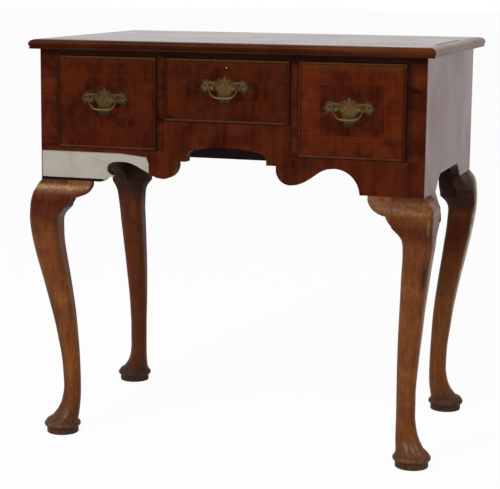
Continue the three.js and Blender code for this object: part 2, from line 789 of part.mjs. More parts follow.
function plateShape(drawer) {
  const at = ([across, up], side) => {
    const rise = up > 0 ? plateRise : plateDrop;
    return [drawer.pivotX + (side * across * plateWidth) / 2, drawer.pivotZ + up * rise];
  };
  const right = plateShares.map((share) => at(share, 1));
  const left = plateShares.slice(1, -1).map((share) => at(share, -1)).reverse();
  const shape = shapeOf([...right, ...left]);
  for (const [across, up, radius] of piercingShares) {
    for (const side of across ? [-1, 1] : [1]) {
      const [x, z] = at([across, up], side);
      shape.holes.push(circlePath(x, z, (radius * plateWidth) / 2, 8));
    }
  }
  return shape;
}

const pivotY = frontY - plateThickness - pivotStandOff;

// A turned post with its threaded shank and nut, revolved about Y
function handlePost(x, z) {
  const back = drawerFrontThickness;
  const headSteps = 5;
  const head = Array.from({ length: headSteps + 1 }, (_, i) => {
    const start = Math.asin(postNeckRadius / postHeadRadius);
    const angle = start + (i / headSteps) * (Math.PI - start);
    return [postHeadRadius * Math.sin(angle), plateThickness + pivotStandOff - postHeadRadius * Math.cos(angle)];
  });
  head[headSteps][0] = 0;
  const profile = [
    [0, -back - nutThickness], [nutRadius, -back - nutThickness], [nutRadius, -back], [shankRadius, -back],
    [shankRadius, plateThickness / 2], [postCollarRadius, plateThickness / 2],
    [postCollarRadius, plateThickness + postCollarThickness],
    [postNeckRadius, plateThickness + postCollarThickness * 2], ...head,
  ];
  const geometry = new THREE.LatheGeometry(profile.map(([r, out]) => new THREE.Vector2(r, out)), 12);
  geometry.rotateX(Math.PI);
  geometry.translate(x, frontY, z);
  return geometry;
}

function handlePlate(drawer) {
  let handle = solidOf(facingBoard(plateShape(drawer), frontY - plateThickness, frontY));
  for (const side of [-1, 1]) {
    const x = drawer.pivotX + (side * postSpacing) / 2;
    const hole = new THREE.CylinderGeometry(pinHoleRadius, pinHoleRadius, postHeadRadius * 3, 10);
    hole.rotateZ(Math.PI / 2);
    hole.translate(x, pivotY, drawer.pivotZ);
    handle = handle.add(solidOf(handlePost(x, drawer.pivotZ))).subtract(solidOf(hole));
  }
  return geometryOf(handle);
}

// A bar that tapers from its middle to the pins at its ends, bent in one upright plane
function bailGeometry(drawer) {
  const right = bailShares.map(([across, down]) => new THREE.Vector3((across * bailWidth) / 2, 0, down * bailDrop));
  const left = right.map((point) => new THREE.Vector3(-point.x, point.y, point.z));
  const curve = new THREE.CatmullRomCurve3([...left, ...right.reverse()], false, 'centripetal');
  const steps = 30;
  const sides = 8;
  const rings = Array.from({ length: steps + 1 }, (_, i) => {
    const t = i / steps;
    const point = curve.getPointAt(t);
    const tangent = curve.getTangentAt(t);
    const swell = Math.sin(Math.PI * t) ** 1.5;
    const radius = pinRadius + (bailMiddleRadius - pinRadius) * swell;
    return Array.from({ length: sides }, (__, j) => {
      const angle = (j / sides) * Math.PI * 2;
      const lift = radius * Math.cos(angle);
      return [
        drawer.pivotX + point.x - tangent.z * lift,
        pivotY + radius * Math.sin(angle),
        drawer.pivotZ + point.z + tangent.x * lift,
      ];
    });
  });
  const cap = Array.from({ length: sides }, (_, j) => {
    const angle = (j / sides) * Math.PI * 2;
    return [Math.cos(angle), Math.sin(angle)];
  });
  return loft(rings, { cap });
}

function addDrawer(name, openingX, openingBottom, keyed) {
  const x = [openingX[0] + drawerGap, openingX[1] - drawerGap];
  const z = [openingBottom + drawerGap, openingTop - drawerGap];
  const drawer = {
    x,
    z,
    keyed,
    pivotX: (x[0] + x[1]) / 2 + handleOffsets[name][0],
    pivotZ: (z[0] + z[1]) / 2 + handleOffsets[name][1],
  };
  const insideX = [x[0] + drawerSideThickness, x[1] - drawerSideThickness];
  const bottomX = [insideX[0] - drawerRebate, insideX[1] + drawerRebate];
  const frontBack = frontY + drawerFrontThickness;
  const bottomTop = z[0] + drawerBottomThickness;
  add(`${name}_front`, drawerFront(drawer), walnut);
  add(`${name}_bead`, beadGeometry(x, z), cockBead);
  add(`${name}_side_left`, drawerSide(drawer, -1), oak);
  add(`${name}_side_right`, drawerSide(drawer, 1), oak);
  add(
    `${name}_back`,
    box(insideX, [drawerBackY - drawerBackThickness, drawerBackY], [bottomTop, z[1] - drawerBackDrop]),
    oak,
  );
  add(`${name}_bottom`, box(bottomX, [frontBack, drawerBackY], [z[0], bottomTop]), oak);
  add(`${name}_handle`, handlePlate(drawer), brass);
  add(`${name}_bail`, bailGeometry(drawer), brass);
  return drawer;
}

addDrawer('drawer_left', [-openingSide, -partitionOuter], sideOpeningBottom, false);
addDrawer('drawer_right', [partitionOuter, openingSide], sideOpeningBottom, false);
const middleDrawer = addDrawer('drawer_middle', [-partitionInner, partitionInner], middleOpeningBottom, true);

// Lock of the middle drawer

function lockCase() {
  const top = middleDrawer.z[1];
  const body = box(
    [-lockWidth / 2, lockWidth / 2], [lockFrontY, lockFrontY + lockThickness], [top - lockHeight, top],
  );
  const pocketY = lockFrontY + (lockThickness - boltThickness) / 2;
  const pocket = box(
    [-boltWidth / 2 - lockClearance, boltWidth / 2 + lockClearance],
    [pocketY - lockClearance, pocketY + boltThickness + lockClearance],
    [top - boltSink - boltHeight - lockClearance, top + lockClearance],
  );
  const keyway = new THREE.Shape(keyholePath(top - keyholeDrop).getPoints());
  const way = facingBoard(keyway, lockFrontY - lockClearance, lockFrontY + lockThickness / 2);
  return geometryOf(solidOf(body).subtract(solidOf(pocket)).subtract(solidOf(way)));
}

add('lock_case', lockCase(), iron);
const boltY = lockFrontY + (lockThickness - boltThickness) / 2;
const boltTop = middleDrawer.z[1] - boltSink;
add(
  'lock_bolt',
  box([-boltWidth / 2, boltWidth / 2], [boltY, boltY + boltThickness], [boltTop - boltHeight, boltTop]),
  iron,
);

export default lowboy;
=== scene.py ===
"""Dresses the walnut lowboy: finer legs, mouldings and brass mounts, and a finish for each wood.

Shape numbers are millimetres, as a maker would give them, and turn into metres when a mesh is made.
The drawers face -Y, +Z is up, and the floor is at Z = 0.
"""

import math

import bpy
import numpy as np
from bpy.props import FloatProperty, FloatVectorProperty, IntProperty, PointerProperty
from mathutils import Matrix, Vector
from mathutils.geometry import delaunay_2d_cdt


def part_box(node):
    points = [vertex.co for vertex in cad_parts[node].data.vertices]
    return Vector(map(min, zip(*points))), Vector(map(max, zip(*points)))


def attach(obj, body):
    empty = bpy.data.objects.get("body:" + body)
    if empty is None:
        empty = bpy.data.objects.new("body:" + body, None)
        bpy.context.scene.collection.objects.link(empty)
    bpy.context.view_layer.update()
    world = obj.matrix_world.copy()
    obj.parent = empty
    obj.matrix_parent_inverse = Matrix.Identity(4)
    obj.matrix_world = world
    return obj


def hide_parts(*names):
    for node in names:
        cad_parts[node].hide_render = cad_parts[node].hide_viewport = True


bl_info = {
    "name": "Walnut Lowboy",
    "version": (1, 0, 0),
    "blender": (4, 5, 0),
    "location": "3D View > Sidebar > Lowboy",
    "description": "Carved legs, mouldings, brass mounts and wood finishes for a lowboy",
    "category": "Add Mesh",
}

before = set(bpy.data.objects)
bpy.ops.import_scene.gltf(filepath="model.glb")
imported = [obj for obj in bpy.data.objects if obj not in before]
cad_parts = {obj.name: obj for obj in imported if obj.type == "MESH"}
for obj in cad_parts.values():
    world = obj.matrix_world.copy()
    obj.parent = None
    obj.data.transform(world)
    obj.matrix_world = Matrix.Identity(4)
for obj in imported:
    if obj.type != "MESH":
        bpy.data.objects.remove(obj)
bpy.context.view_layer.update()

# A metre, in millimetres

METRE = 1000.0


def box_mm(node):
    """Lowest and highest corner of a node of the frame, in millimetres."""
    low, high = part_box(node)
    return np.array(low) * METRE, np.array(high) * METRE


# Levels and faces of the case

case_low, case_high = box_mm("side_panel_right")
front_y = box_mm("apron_veneer")[0][1]
half_width = case_high[0]
back_y = case_high[1]
leg_height = box_mm("apron_board")[0][2]
case_top = case_high[2]
post_top = box_mm("outer_runner_left")[0][2]
side_thickness = case_high[0] - case_low[0]
front_thickness = box_mm("corner_stile_left")[1][1] - front_y
back_thickness = back_y - box_mm("back_board")[0][1]

# Sizes of the legs, as the frame has them but for the foot's rim

KNEE_STAND_OUT = 19.7
LEG_INSIDE = 50.3
BACK_KNEE_SHARE = 0.5
KNEE_HOLLOW = 18.1
ANKLE_INSET = 19.0
FOOT_INSET = 18.5
FOOT_BASE_RADIUS = 28.5
FOOT_RIM_RADIUS = 32.8
FOOT_HEIGHT = 24.5
FOOT_ROWS = 60
POST_SHOULDER = 0.6
POST_ROOT = 14.0
KNEE_HEIGHT_SHARE = 0.905
FULLEST_ROUND = 0.985

# Each leg's side of the case, whether it stands at the back, and how far its foot leans along X and Y

LEGS = {
    "front_left": (-1, False, (12.0, -6.0)),
    "front_right": (1, False, (6.0, 1.9)),
    "back_left": (-1, True, (-6.0, 5.3)),
    "back_right": (1, True, (-10.2, -0.4)),
}

# How far the left and the right side of each hand carved leg lie out of true along X, by share of its height

OUT_OF_TRUE = {
    "front_left": (
        ((0.06, 0), (0.11, 0.6), (0.2, -0.6), (0.29, -2.3), (0.44, -1.2), (0.6, -2.5), (0.7, -4.4),
         (0.76, -4.7), (0.84, -2.6), (0.89, -0.3), (0.94, 2.6), (0.965, 3.6), (1, 0)),
        ((0.06, 0), (0.4, 0.4), (0.53, 1.4), (0.62, 0.8), (0.72, -0.6), (0.84, 0), (1, 0)),
    ),
    "front_right": (
        ((0.06, 0), (0.1, -1.2), (0.2, -0.4), (0.4, -0.3), (0.6, -1.1), (0.75, -1.8), (0.86, 0), (1, 0)),
        ((0.06, 0), (0.12, 1.2), (0.28, 2.5), (0.39, 1.6), (0.5, 0.2), (0.6, -1.4), (0.72, -1.7),
         (0.82, -0.8), (0.89, -2.2), (0.94, 0.6), (0.965, 3.2), (1, 0)),
    ),
    "back_left": (
        ((0.06, 0), (0.11, 1.5), (0.2, -1.0), (0.29, -1.6), (0.4, 0), (1, 0)),
        ((0.06, 0), (0.8, 0), (0.88, 1.0), (1, 0)),
    ),
    "back_right": (
        ((0.06, 0), (0.12, -1.7), (0.3, -2.0), (0.4, -2.9), (0.55, -3.0), (0.65, -2.3), (0.78, -2.2),
         (0.87, 0), (1, 0)),
        ((0.06, 0), (0.2, -0.4), (0.3, 0), (0.45, -2.7), (0.55, -3.3), (0.65, -2.2), (0.84, -0.8), (1, 0)),
    ),
}

# Each front knee's rubbing, from its start to where it is full, and its painted highlight's place, width and
# strength

KNEE_WEAR = {-1: (0.948, 0.972), 1: (0.905, 0.975)}
KNEE_HIGHLIGHT = {-1: (0.9748, 0.0078, 0.9), 1: (0.948, 0.007, 0.14)}

# Bearings of the painted highlights on each front foot's toe

TOE_HIGHLIGHTS = {-1: (1.12,), 1: (0.78, 0.34, -0.05)}

# Hollows in a foot's upper side: level, reach by height and by bearing, how close they lie, share of depth

HOLLOW_LEVEL = 41.0
HOLLOW_RISE = 9.0
HOLLOW_BREADTH = 0.75
HOLLOW_PITCH = 7.5
HOLLOW_DEPTH_SHARE = 0.022

# Forms of the legs by share of their height: both faces' insets, and how round each kind of corner is

ANKLE_SHARE = 0.065
OUTER_SHARES = (
    (ANKLE_SHARE, 0.49), (0.095, 0.73), (0.13, 0.885), (0.185, 0.985), (0.26, 0.99), (0.39, 0.83),
    (0.52, 0.595), (0.65, 0.35), (0.755, 0.16), (0.855, 0.018), (KNEE_HEIGHT_SHARE, 0), (0.948, 0.07),
    (0.978, 0.265), (1, KNEE_STAND_OUT / (KNEE_STAND_OUT + ANKLE_INSET)),
)
INNER_SHARES = (
    (ANKLE_SHARE, 0.19), (0.11, 0.13), (0.16, 0.09), (0.22, 0.08), (0.3, 0.11), (0.43, 0.25), (0.5625, 0.52),
    (0.696, 0.81), (0.79, 1), (0.825, 0.98), (0.85, 0.88), (0.866, 0.68), (0.88, 0.4), (0.892, 0.1),
    (0.897, 0), (1, 0),
)
ARRIS_SHARES = (
    (0, 1), (0.2, 1), (0.3, 0.95), (0.43, 0.8), (0.56, 0.7), (0.7, 0.62), (0.8, 0.55), (0.9, 0.42),
    (0.96, 0.3), (1, 0.06),
)
BACK_ARRIS_SHARES = (
    (0, 1), (0.2, 1), (0.3, 0.95), (0.43, 0.8), (0.56, 0.72), (0.7, 0.68), (0.77, 0.75), (0.83, 0.97),
    (0.93, 0.97), (0.953, 0.75), (0.975, 0.3), (1, 0.06),
)
GLUED_SHARES = (
    (0, 1), (0.2, 1), (0.43, 0.8), (0.7, 0.62), (0.8, 0.52), (0.84, 0.45), (0.86, 0.28), (0.875, 0.11),
    (0.886, 0.03), (0.9, 0.012), (1, 0.012),
)
FREE_SHARES = (
    (0, 1), (0.2, 1), (0.43, 0.8), (0.7, 0.62), (0.8, 0.55), (0.83, 0.62), (0.855, 0.8), (0.875, 0.93),
    (0.905, 0.95), (0.92, 0.72), (0.935, 0.48), (0.96, 0.3), (1, 0.04),
)

# The foot's radius between its base's and its rim's, by share of the foot's height

FOOT_SHARES = (
    (0, -0.24), (0.05, 0), (0.16, 0.02), (0.2, -0.08), (0.24, 0.02), (0.42, 0), (0.455, -0.05), (0.49, 0.4),
    (0.55, 0.84), (0.62, 1), (0.7, 0.97), (0.77, 0.8), (0.85, 0.46), (0.93, 0.12), (1, -0.1),
)

# Knee brackets

BRACKET_LENGTH = 44.4
BRACKET_DROP = 47.0
BRACKET_FLATTEN = 0.6
BRACKET_INNER = ((0, 1), (0.15, 0.86), (0.235, 0.664))
BRACKET_OUTER = ((0.235, 0.664), (0.85, 0.57), (1, 0.155))
BRACKET_THICKNESS = 13.0
BRACKET_ROUND = 2.2
BRACKET_ROUND_BY_LEG = 2.0

# How proud the veneer on the front's ends is, and the clearance of what is set into the case

END_VENEER = 0.12
JOINT_GAP = 0.3

# Moulding of the top, from its outer edge inwards, the strip under it, and how far its worn edge wanders

LIP_WIDTH = 20.0
LIP_ROUND_WIDTH = 13.0
LIP_ROUND_HEIGHT = 7.0
LIP_FILLET_HEIGHT = 2.6
LIP_FILLET_DEPTH = 1.6
LIP_SOFT_EDGE = 0.5
STRIP_BACK = 15.7
STRIP_DROP = 2.7
STRIP_FRONT = 1.2
STRIP_SOFT_EDGE = 0.3
EDGE_WANDER = 0.12

# Beads round the drawers

BEAD_STAND_OUT = 2.2
BEAD_DEPTH = 6.5

# How pale each drawer's bead is below, on the right, above and on the left, as rubbed wood and painted light

BEAD_RUB_AND_LIGHT = {
    "drawer_left": (0.7, 0.12, 1.0, 0.08),
    "drawer_middle": (0.7, 0.12, 1.0, 0.08),
    "drawer_right": (0.85, 0.1, 1.0, 0.55),
}

# Where the bands of the drawers' veneer end, from the bead, and the top's band, in metres as in the shaders

CROSSBAND_END = 0.0225
FEATHER_END = 0.034
TOP_BAND = 0.034

# Handles

PLATE_SHARES = (
    (0, 1), (0.055, 0.93), (0.095, 0.84), (0.1, 0.765), (0.165, 0.79), (0.24, 0.76), (0.29, 0.68),
    (0.33, 0.585), (0.4, 0.535), (0.5, 0.52), (0.57, 0.545), (0.62, 0.62), (0.68, 0.7), (0.76, 0.69),
    (0.86, 0.58), (0.92, 0.42), (0.945, 0.28), (1, 0.12), (0.985, -0.06), (0.92, -0.1), (0.91, -0.2),
    (0.84, -0.28), (0.77, -0.34), (0.73, -0.24), (0.67, -0.19), (0.6, -0.21), (0.52, -0.19), (0.44, -0.165),
    (0.375, -0.19), (0.335, -0.27), (0.32, -0.36), (0.305, -0.45), (0.27, -0.53), (0.245, -0.6),
    (0.265, -0.7), (0.255, -0.8), (0.19, -0.9), (0.08, -0.955), (0, -1),
)
PIERCING_SHARES = ((0, -0.84, 0.035), (0.6, 0.24, 0.036), (0.78, 0.18, 0.034), (0.2, 0.5, 0.026))
BAIL_SHARES = (
    (0.66, 0), (0.8, 0), (0.89, -0.03), (0.935, -0.14), (0.93, -0.3), (0.86, -0.52), (0.74, -0.74),
    (0.58, -0.91), (0.38, -0.985), (0.18, -1),
)
PLATE_WIDTH = 88.0
PLATE_RISE = 21.0
PLATE_DROP = 29.5
PLATE_THICKNESS = 1.6
POST_SPACING = 38.0
PIVOT_STAND_OFF = 9.0
BAIL_WIDTH = 52.0
BAIL_DROP = 16.8
BAIL_MIDDLE_RADIUS = 2.1
PIN_RADIUS = 1.25
PIN_HOLE_RADIUS = 1.7
POST_BALL_RADIUS = 3.5

# The keyhole's pin: how far it lies below the top of the lock's case, and its two ends behind the front

KEYHOLE_DROP = 14.3
PIN_ROOT = 11.4
PIN_END = 0.2

# Turned rings along the bail: place along it, width and height

BAIL_RINGS = (
    (0.5, 0.012, 0.55), (0.465, 0.007, 0.25), (0.535, 0.007, 0.25), (0.13, 0.012, 0.3), (0.87, 0.012, 0.3),
)

# The chased plate's forms: middles of its boss, scrolls and fan, across and up

BOSS_LEVEL = -3.5
INNER_SCROLL = (11.5, -2.0)
WING_SCROLL = (34.5, 3.0)
FAN_LEVELS = (4.0, 13.0)

DRAWERS = ("drawer_left", "drawer_middle", "drawer_right")


def linear(code):
    """Colour of a six figure hex code in the shader's own linear light."""
    parts = np.array([(code >> 16) & 255, (code >> 8) & 255, code & 255]) / 255.0
    light = np.where(parts <= 0.04045, parts / 12.92, ((parts + 0.055) / 1.055) ** 2.4)
    return (*(float(v) for v in light), 1.0)


# Colours of dirt, painted shade, painted highlights and rubbed places

WHITE = (1.0, 1.0, 1.0, 1.0)
# Painted shadow under the top and beside the drawers
DRAWER_SHADOW = linear(0x1A0A06)
# Painted shade along each drawer front's right edge
DRAWER_EDGE_SHADE = linear(0x1C0703)
# Deep red of the legs: the wood's own red and painted shade
DEEP_RED_AND_SHADE = linear(0x4E1C08)
# Painted highlights on the front and the back legs
FRONT_LEG_HIGHLIGHT = linear(0xE6BE84)
BACK_LEG_HIGHLIGHT = linear(0xEBDAC4)
# Dirt and painted shade on the legs
LEG_GRIME_AND_SHADE = linear(0x1C1718)
LEG_FLECKS = linear(0x32120A)
FOOT_DUST = linear(0x5E4B40)
FOOT_STAINS = linear(0x2A150E)
SAWN_WALNUT = linear(0x261A17)
OPEN_JOINT = linear(0x1A0D09)
# Bare core of the ends: its own dark colour and painted shade in the recesses
PANEL_CORE_SHADE = linear(0x1A1210)
# Glue and painted shadow where the bare apron meets the leg
GLUE_AND_SHADOW = linear(0x1A0C08)
# Painted shade on the beads' flanks and side runs
BEAD_SHADE = linear(0x3A1507)
TARNISH = linear(0x2A2210)
# Pale brass of the keyhole pin: rubbed by the key, and a painted glint
PIN_BRASS_GLINT = linear(0xC9A985)
RUST = linear(0x3A2115)
DARK_CLOTH = linear(0x141210)


def colour_property(name, description, code):
    """A colour that the user can change."""
    return FloatVectorProperty(
        name=name, description=description, subtype="COLOR", size=4, min=0, max=1, default=linear(code)
    )


def number_property(kind, name, description, default, low, high, **choices):
    """A number that the user can change, between two limits."""
    return kind(name=name, description=description, default=default, min=low, max=high, **choices)


class LowboyWoods(bpy.types.PropertyGroup):
    """Colours of the woods."""

    front: colour_property("Front veneer", "Walnut veneer of the apron, stiles and rails", 0x461807)
    drawer: colour_property("Drawer fronts", "Figured walnut veneer of the drawer fronts", 0x481907)
    bead: colour_property("Cock beads", "Moulding round each drawer front", 0x522C15)
    top: colour_property("Top", "Walnut of the top and its moulding", 0x482014)
    side: colour_property("Side panels", "Walnut of the two ends", 0x562A17)
    leg: colour_property("Legs", "Solid walnut of the legs and knee brackets", 0x7C4720)
    worn: colour_property("Worn knees", "Golden wood where the polish is rubbed through", 0x7A4C26)
    ground: colour_property("Bare ground", "Board that shows where the apron's veneer is lost", 0xABA599)
    oak: colour_property("Inside", "Oak of the runners and the drawer linings", 0x86643E)


class LowboyMetals(bpy.types.PropertyGroup):
    """Colours and wear of the metals."""

    brass: colour_property("Handle brass", "Aged brass of the back plates, posts and bails", 0x6E5531)
    iron: colour_property("Lock", "Iron of the lock and its bolt", 0x4A4642)
    relief: number_property(
        FloatProperty, "Plate relief", "Depth of the plates' chasing",
        default=0.00045, low=0, high=0.001, unit="LENGTH",
    )


class LowboyShape(bpy.types.PropertyGroup):
    """Sizes of the mouldings and the fineness of the carved surfaces."""

    bead_width: number_property(
        FloatProperty, "Cock bead width", "Width of the half round beads",
        default=0.0046, low=0.003, high=0.006, unit="LENGTH",
    )
    leg_rows: number_property(
        IntProperty, "Leg rows", "Rows of points up each leg",
        default=150, low=40, high=300, subtype="UNSIGNED",
    )
    corner_steps: number_property(
        IntProperty, "Corner steps", "Points round each corner of a leg",
        default=14, low=4, high=30, subtype="UNSIGNED",
    )


class LowboyStage(bpy.types.PropertyGroup):
    """Floor and light."""

    floor: colour_property("Floor", "Plain pale floor", 0xF4F4F4)
    dome: number_property(
        FloatProperty, "Dome", "Level of the even light from all round",
        default=0.42, low=0, high=2, subtype="FACTOR",
    )
    key: number_property(
        FloatProperty, "Key lamp", "Power of the broad lamp above the front",
        default=62.0, low=0, high=500, unit="POWER",
    )
    side: number_property(
        FloatProperty, "Side lamp", "Power of the lamp on the right",
        default=10.0, low=0, high=500, unit="POWER",
    )


class LowboySettings(bpy.types.PropertyGroup):
    """All of the lowboy's settings."""

    woods: PointerProperty(type=LowboyWoods)
    metals: PointerProperty(type=LowboyMetals)
    shape: PointerProperty(type=LowboyShape)
    stage: PointerProperty(type=LowboyStage)


# Curves


def curve_through(points):
    """A smooth function through the points that never overshoots them.

    Each span is a cubic. Its slope at a point is the harmonic mean of the slopes of the two spans that meet
    there, and level where they turn.
    """
    x, y = np.array(points, float).T
    slopes = np.diff(y) / np.diff(x)
    before = np.r_[slopes[:1], slopes]
    after = np.r_[slopes, slopes[-1:]]
    rising = before * after > 0
    tangents = np.where(rising, 2 * before * after / np.where(rising, before + after, 1), 0)

    def value(at):
        at = np.clip(np.asarray(at, float), x[0], x[-1])
        i = np.clip(np.searchsorted(x, at, side="right") - 1, 0, len(x) - 2)
        span = x[i + 1] - x[i]
        t = (at - x[i]) / span
        rise = (y[i + 1] - y[i]) * t * t * (3 - 2 * t)
        return y[i] + rise + span * (t * (1 - t) ** 2 * tangents[i] - t * t * (1 - t) * tangents[i + 1])

    return value


def smooth_path(points, steps):
    """A curve through the points, in even steps of length.

    It is a cubic through each four neighbours whose knots are spaced by the square root of their distance.
    """
    points = np.asarray(points, float)
    padded = np.vstack([2 * points[0] - points[1], points, 2 * points[-1] - points[-2]])
    gaps = np.sqrt(np.linalg.norm(np.diff(padded, axis=0), axis=1))
    knots = np.r_[0, np.cumsum(gaps)]
    fine = np.linspace(knots[1], knots[-2], 60 * len(points))
    i = np.clip(np.searchsorted(knots, fine, side="right") - 1, 1, len(knots) - 3)
    rows = [padded[i + k] for k in (-1, 0, 1, 2)]
    times = [knots[i + k] for k in (-1, 0, 1, 2)]
    # Each round joins neighbours in pairs, over the span of knots that the pair covers
    for spans in (((0, 1), (1, 2), (2, 3)), ((0, 2), (1, 3)), ((1, 2),)):
        shares = [((fine - times[a]) / (times[b] - times[a]))[:, None] for a, b in spans]
        rows = [near + (far - near) * share for near, far, share in zip(rows, rows[1:], shares)]
    curve = rows[0]
    length = np.r_[0, np.cumsum(np.linalg.norm(np.diff(curve, axis=0), axis=1))]
    even = np.linspace(0, length[-1], steps + 1)
    return np.stack([np.interp(even, length, curve[:, k]) for k in range(curve.shape[1])], 1)


def bump_at(at, middle, width):
    """A smooth hump of height one about the middle."""
    return np.exp(-(((at - middle) / width) ** 2))


def ease(at, start, end):
    """Zero before start, one after end, and a smooth rise between them."""
    t = np.clip((at - start) / (end - start), 0, 1)
    return t * t * (3 - 2 * t)


def bend(points, t):
    """A curve from the first point to the last that leans towards the middle one, by squares of t."""
    a, b, c = (np.array(p, float) for p in points)
    t = t[:, None]
    return a * (1 - t) ** 2 + 2 * b * t * (1 - t) + c * t * t


def around(count):
    """Even bearings round a full turn."""
    return np.arange(count) / count * 2 * np.pi


def distance_to(line, points, closed=True):
    """Shortest distance from each point to the sides of a line of points, which may close on itself."""
    side = np.roll(line, -1, axis=0) - line
    start = line
    if not closed:
        side, start = side[:-1], line[:-1]
    to_point = points[:, None] - start[None]
    share = np.clip((to_point * side).sum(-1) / np.maximum((side**2).sum(-1), 1e-9), 0, 1)
    return np.linalg.norm(to_point - share[..., None] * side[None], axis=-1).min(1)


def inside(outline, points):
    """Which points lie inside a closed outline: a line to the right crosses it an odd number of times."""
    a, b = outline, np.roll(outline, -1, axis=0)
    px, py = points[:, :1], points[:, 1:]
    spans = (a[None, :, 1] > py) != (b[None, :, 1] > py)
    rise = np.where(b[:, 1] == a[:, 1], 1e-9, b[:, 1] - a[:, 1])
    crossing = a[:, 0] + (py - a[:, 1]) * (b[:, 0] - a[:, 0]) / rise
    return (np.sum(spans & (px < crossing), axis=1) % 2) == 1


# Surfaces


class Skin:
    """Points and faces of one closed surface, in millimetres, with values at each point."""

    def __init__(self, points, faces, **values):
        self.points = np.asarray(points, float).reshape(-1, 3)
        self.faces = faces
        self.values = {name: np.broadcast_to(v, len(self.points)).astype(float) for name, v in values.items()}

    def volume(self, faces):
        """Six times the volume between the origin and an array of faces."""
        corners = self.points[np.asarray(faces)]
        first = corners[..., 0, :]
        total = 0.0
        for k in range(1, corners.shape[-2] - 1):
            total += np.sum(first * np.cross(corners[..., k, :], corners[..., k + 1, :]))
        return total

    def moved(self, by):
        """A copy of the surface, moved."""
        return Skin(self.points + by, self.faces, **self.values)


def skin_over(rings, joined=False, caps=True, closed=True, **values):
    """A surface over rows of points: each point joins its neighbours in its own row and in the next row.

    The rows close round on themselves, the last row may join the first, and a flat cap closes each open end.
    """
    rows, columns, _ = rings.shape
    i = np.arange(rows if joined else rows - 1)[:, None]
    j = np.arange(columns if closed else columns - 1)[None, :]
    following = (i + 1) % rows
    beside = (j + 1) % columns
    corners = [i * columns + j, i * columns + beside, following * columns + beside, following * columns + j]
    faces = [np.stack(corners, -1).reshape(-1, 4)]
    if caps and not joined and closed:
        faces.append(np.arange(columns)[None, ::-1])
        faces.append((rows - 1) * columns + np.arange(columns)[None, :])
    flat = {name: np.broadcast_to(v, rings.shape[:2]).reshape(-1) for name, v in values.items()}
    skin = Skin(rings, faces, **flat)
    if sum(skin.volume(group) for group in faces) < 0:
        skin.faces = [group[:, ::-1] for group in faces]
    return skin


def join_skins(skins):
    """Several surfaces as one: their points, faces and values, with nought where one lacks a value."""
    points = np.vstack([skin.points for skin in skins])
    starts = np.cumsum([0] + [len(skin.points) for skin in skins[:-1]])
    faces = [group + start for skin, start in zip(skins, starts) for group in skin.faces]
    values = {}
    for name in sorted({name for skin in skins for name in skin.values}):
        values[name] = np.concatenate([skin.values.get(name, np.zeros(len(skin.points))) for skin in skins])
    return Skin(points, faces, **values)


def linked_object(name, skin):
    """An object at the origin with the surface as its mesh."""
    mesh = bpy.data.meshes.new(name)
    faces = [face for group in skin.faces for face in group.tolist()]
    mesh.from_pydata((skin.points / METRE).tolist(), [], faces)
    made = bpy.data.objects.new(name, mesh)
    bpy.context.scene.collection.objects.link(made)
    return made


def make_piece(name, skins, body, replaces, finish, crease=32.0):
    """Makes surfaces into one piece, smooth between its sharp edges, that rides on a body of the frame."""
    whole = join_skins(skins)
    piece = linked_object(name, whole)
    mesh = piece.data
    mesh.validate()
    for label, value in whole.values.items():
        attribute = mesh.attributes.new(label, "FLOAT", "POINT")
        attribute.data.foreach_set("value", value.astype(np.float32))
    mesh.shade_smooth()
    mesh.set_sharp_from_angle(angle=math.radians(crease))
    mesh.update()
    mesh.materials.append(finish)
    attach(piece, body)
    if replaces:
        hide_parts(*replaces)


def softened_block(x, y, z, edge=0.5):
    """A board with softened edges: rounded rectangles, drawn in by a quarter round at both ends."""
    steps = 4
    turn = np.linspace(0, np.pi / 2, steps)
    drawn_in, raised = edge * (1 - np.sin(turn)), edge * (1 - np.cos(turn))
    radius = (edge - np.r_[drawn_in, drawn_in[::-1]])[:, None]
    level = np.r_[z[0] + raised, (z[1] - raised)[::-1]]
    angles = (np.arange(4)[:, None] * np.pi / 2 + turn[None, :]).reshape(-1)
    corner_x = np.repeat([x[1] - edge, x[0] + edge, x[0] + edge, x[1] - edge], steps)
    corner_y = np.repeat([y[1] - edge, y[1] - edge, y[0] + edge, y[0] + edge], steps)
    across = corner_x[None, :] + radius * np.cos(angles)[None, :]
    along = corner_y[None, :] + radius * np.sin(angles)[None, :]
    height = np.broadcast_to(level[:, None], across.shape)
    return skin_over(np.stack([across, along, height], -1))


def lathe(profile, count):
    """A profile of radius and distance turned round Y: the other two axes are its cosine and sine."""
    turn = around(count)
    radius, out = np.asarray(profile, float).T
    x = radius[:, None] * np.cos(turn)[None, :]
    z = radius[:, None] * np.sin(turn)[None, :]
    return np.stack([x, np.broadcast_to(out[:, None], x.shape), z], -1)


# Legs and brackets

outer_share_at = curve_through(OUTER_SHARES)
inner_share_at = curve_through(INNER_SHARES)
arris_share_at = curve_through(ARRIS_SHARES)
back_arris_share_at = curve_through(BACK_ARRIS_SHARES)
glued_share_at = curve_through(GLUED_SHARES)
free_share_at = curve_through(FREE_SHARES)
foot_share_at = curve_through(FOOT_SHARES)
knee_reach = half_width + KNEE_STAND_OUT


def leg_outer(share):
    """How far the leg's face lies inside the case's face at a share of the leg's height."""
    return (KNEE_STAND_OUT + ANKLE_INSET) * outer_share_at(share) - KNEE_STAND_OUT


def leg_inner(share):
    """How far the back of the leg lies inside the case's face at a share of the leg's height."""
    return LEG_INSIDE - KNEE_HOLLOW * inner_share_at(share)


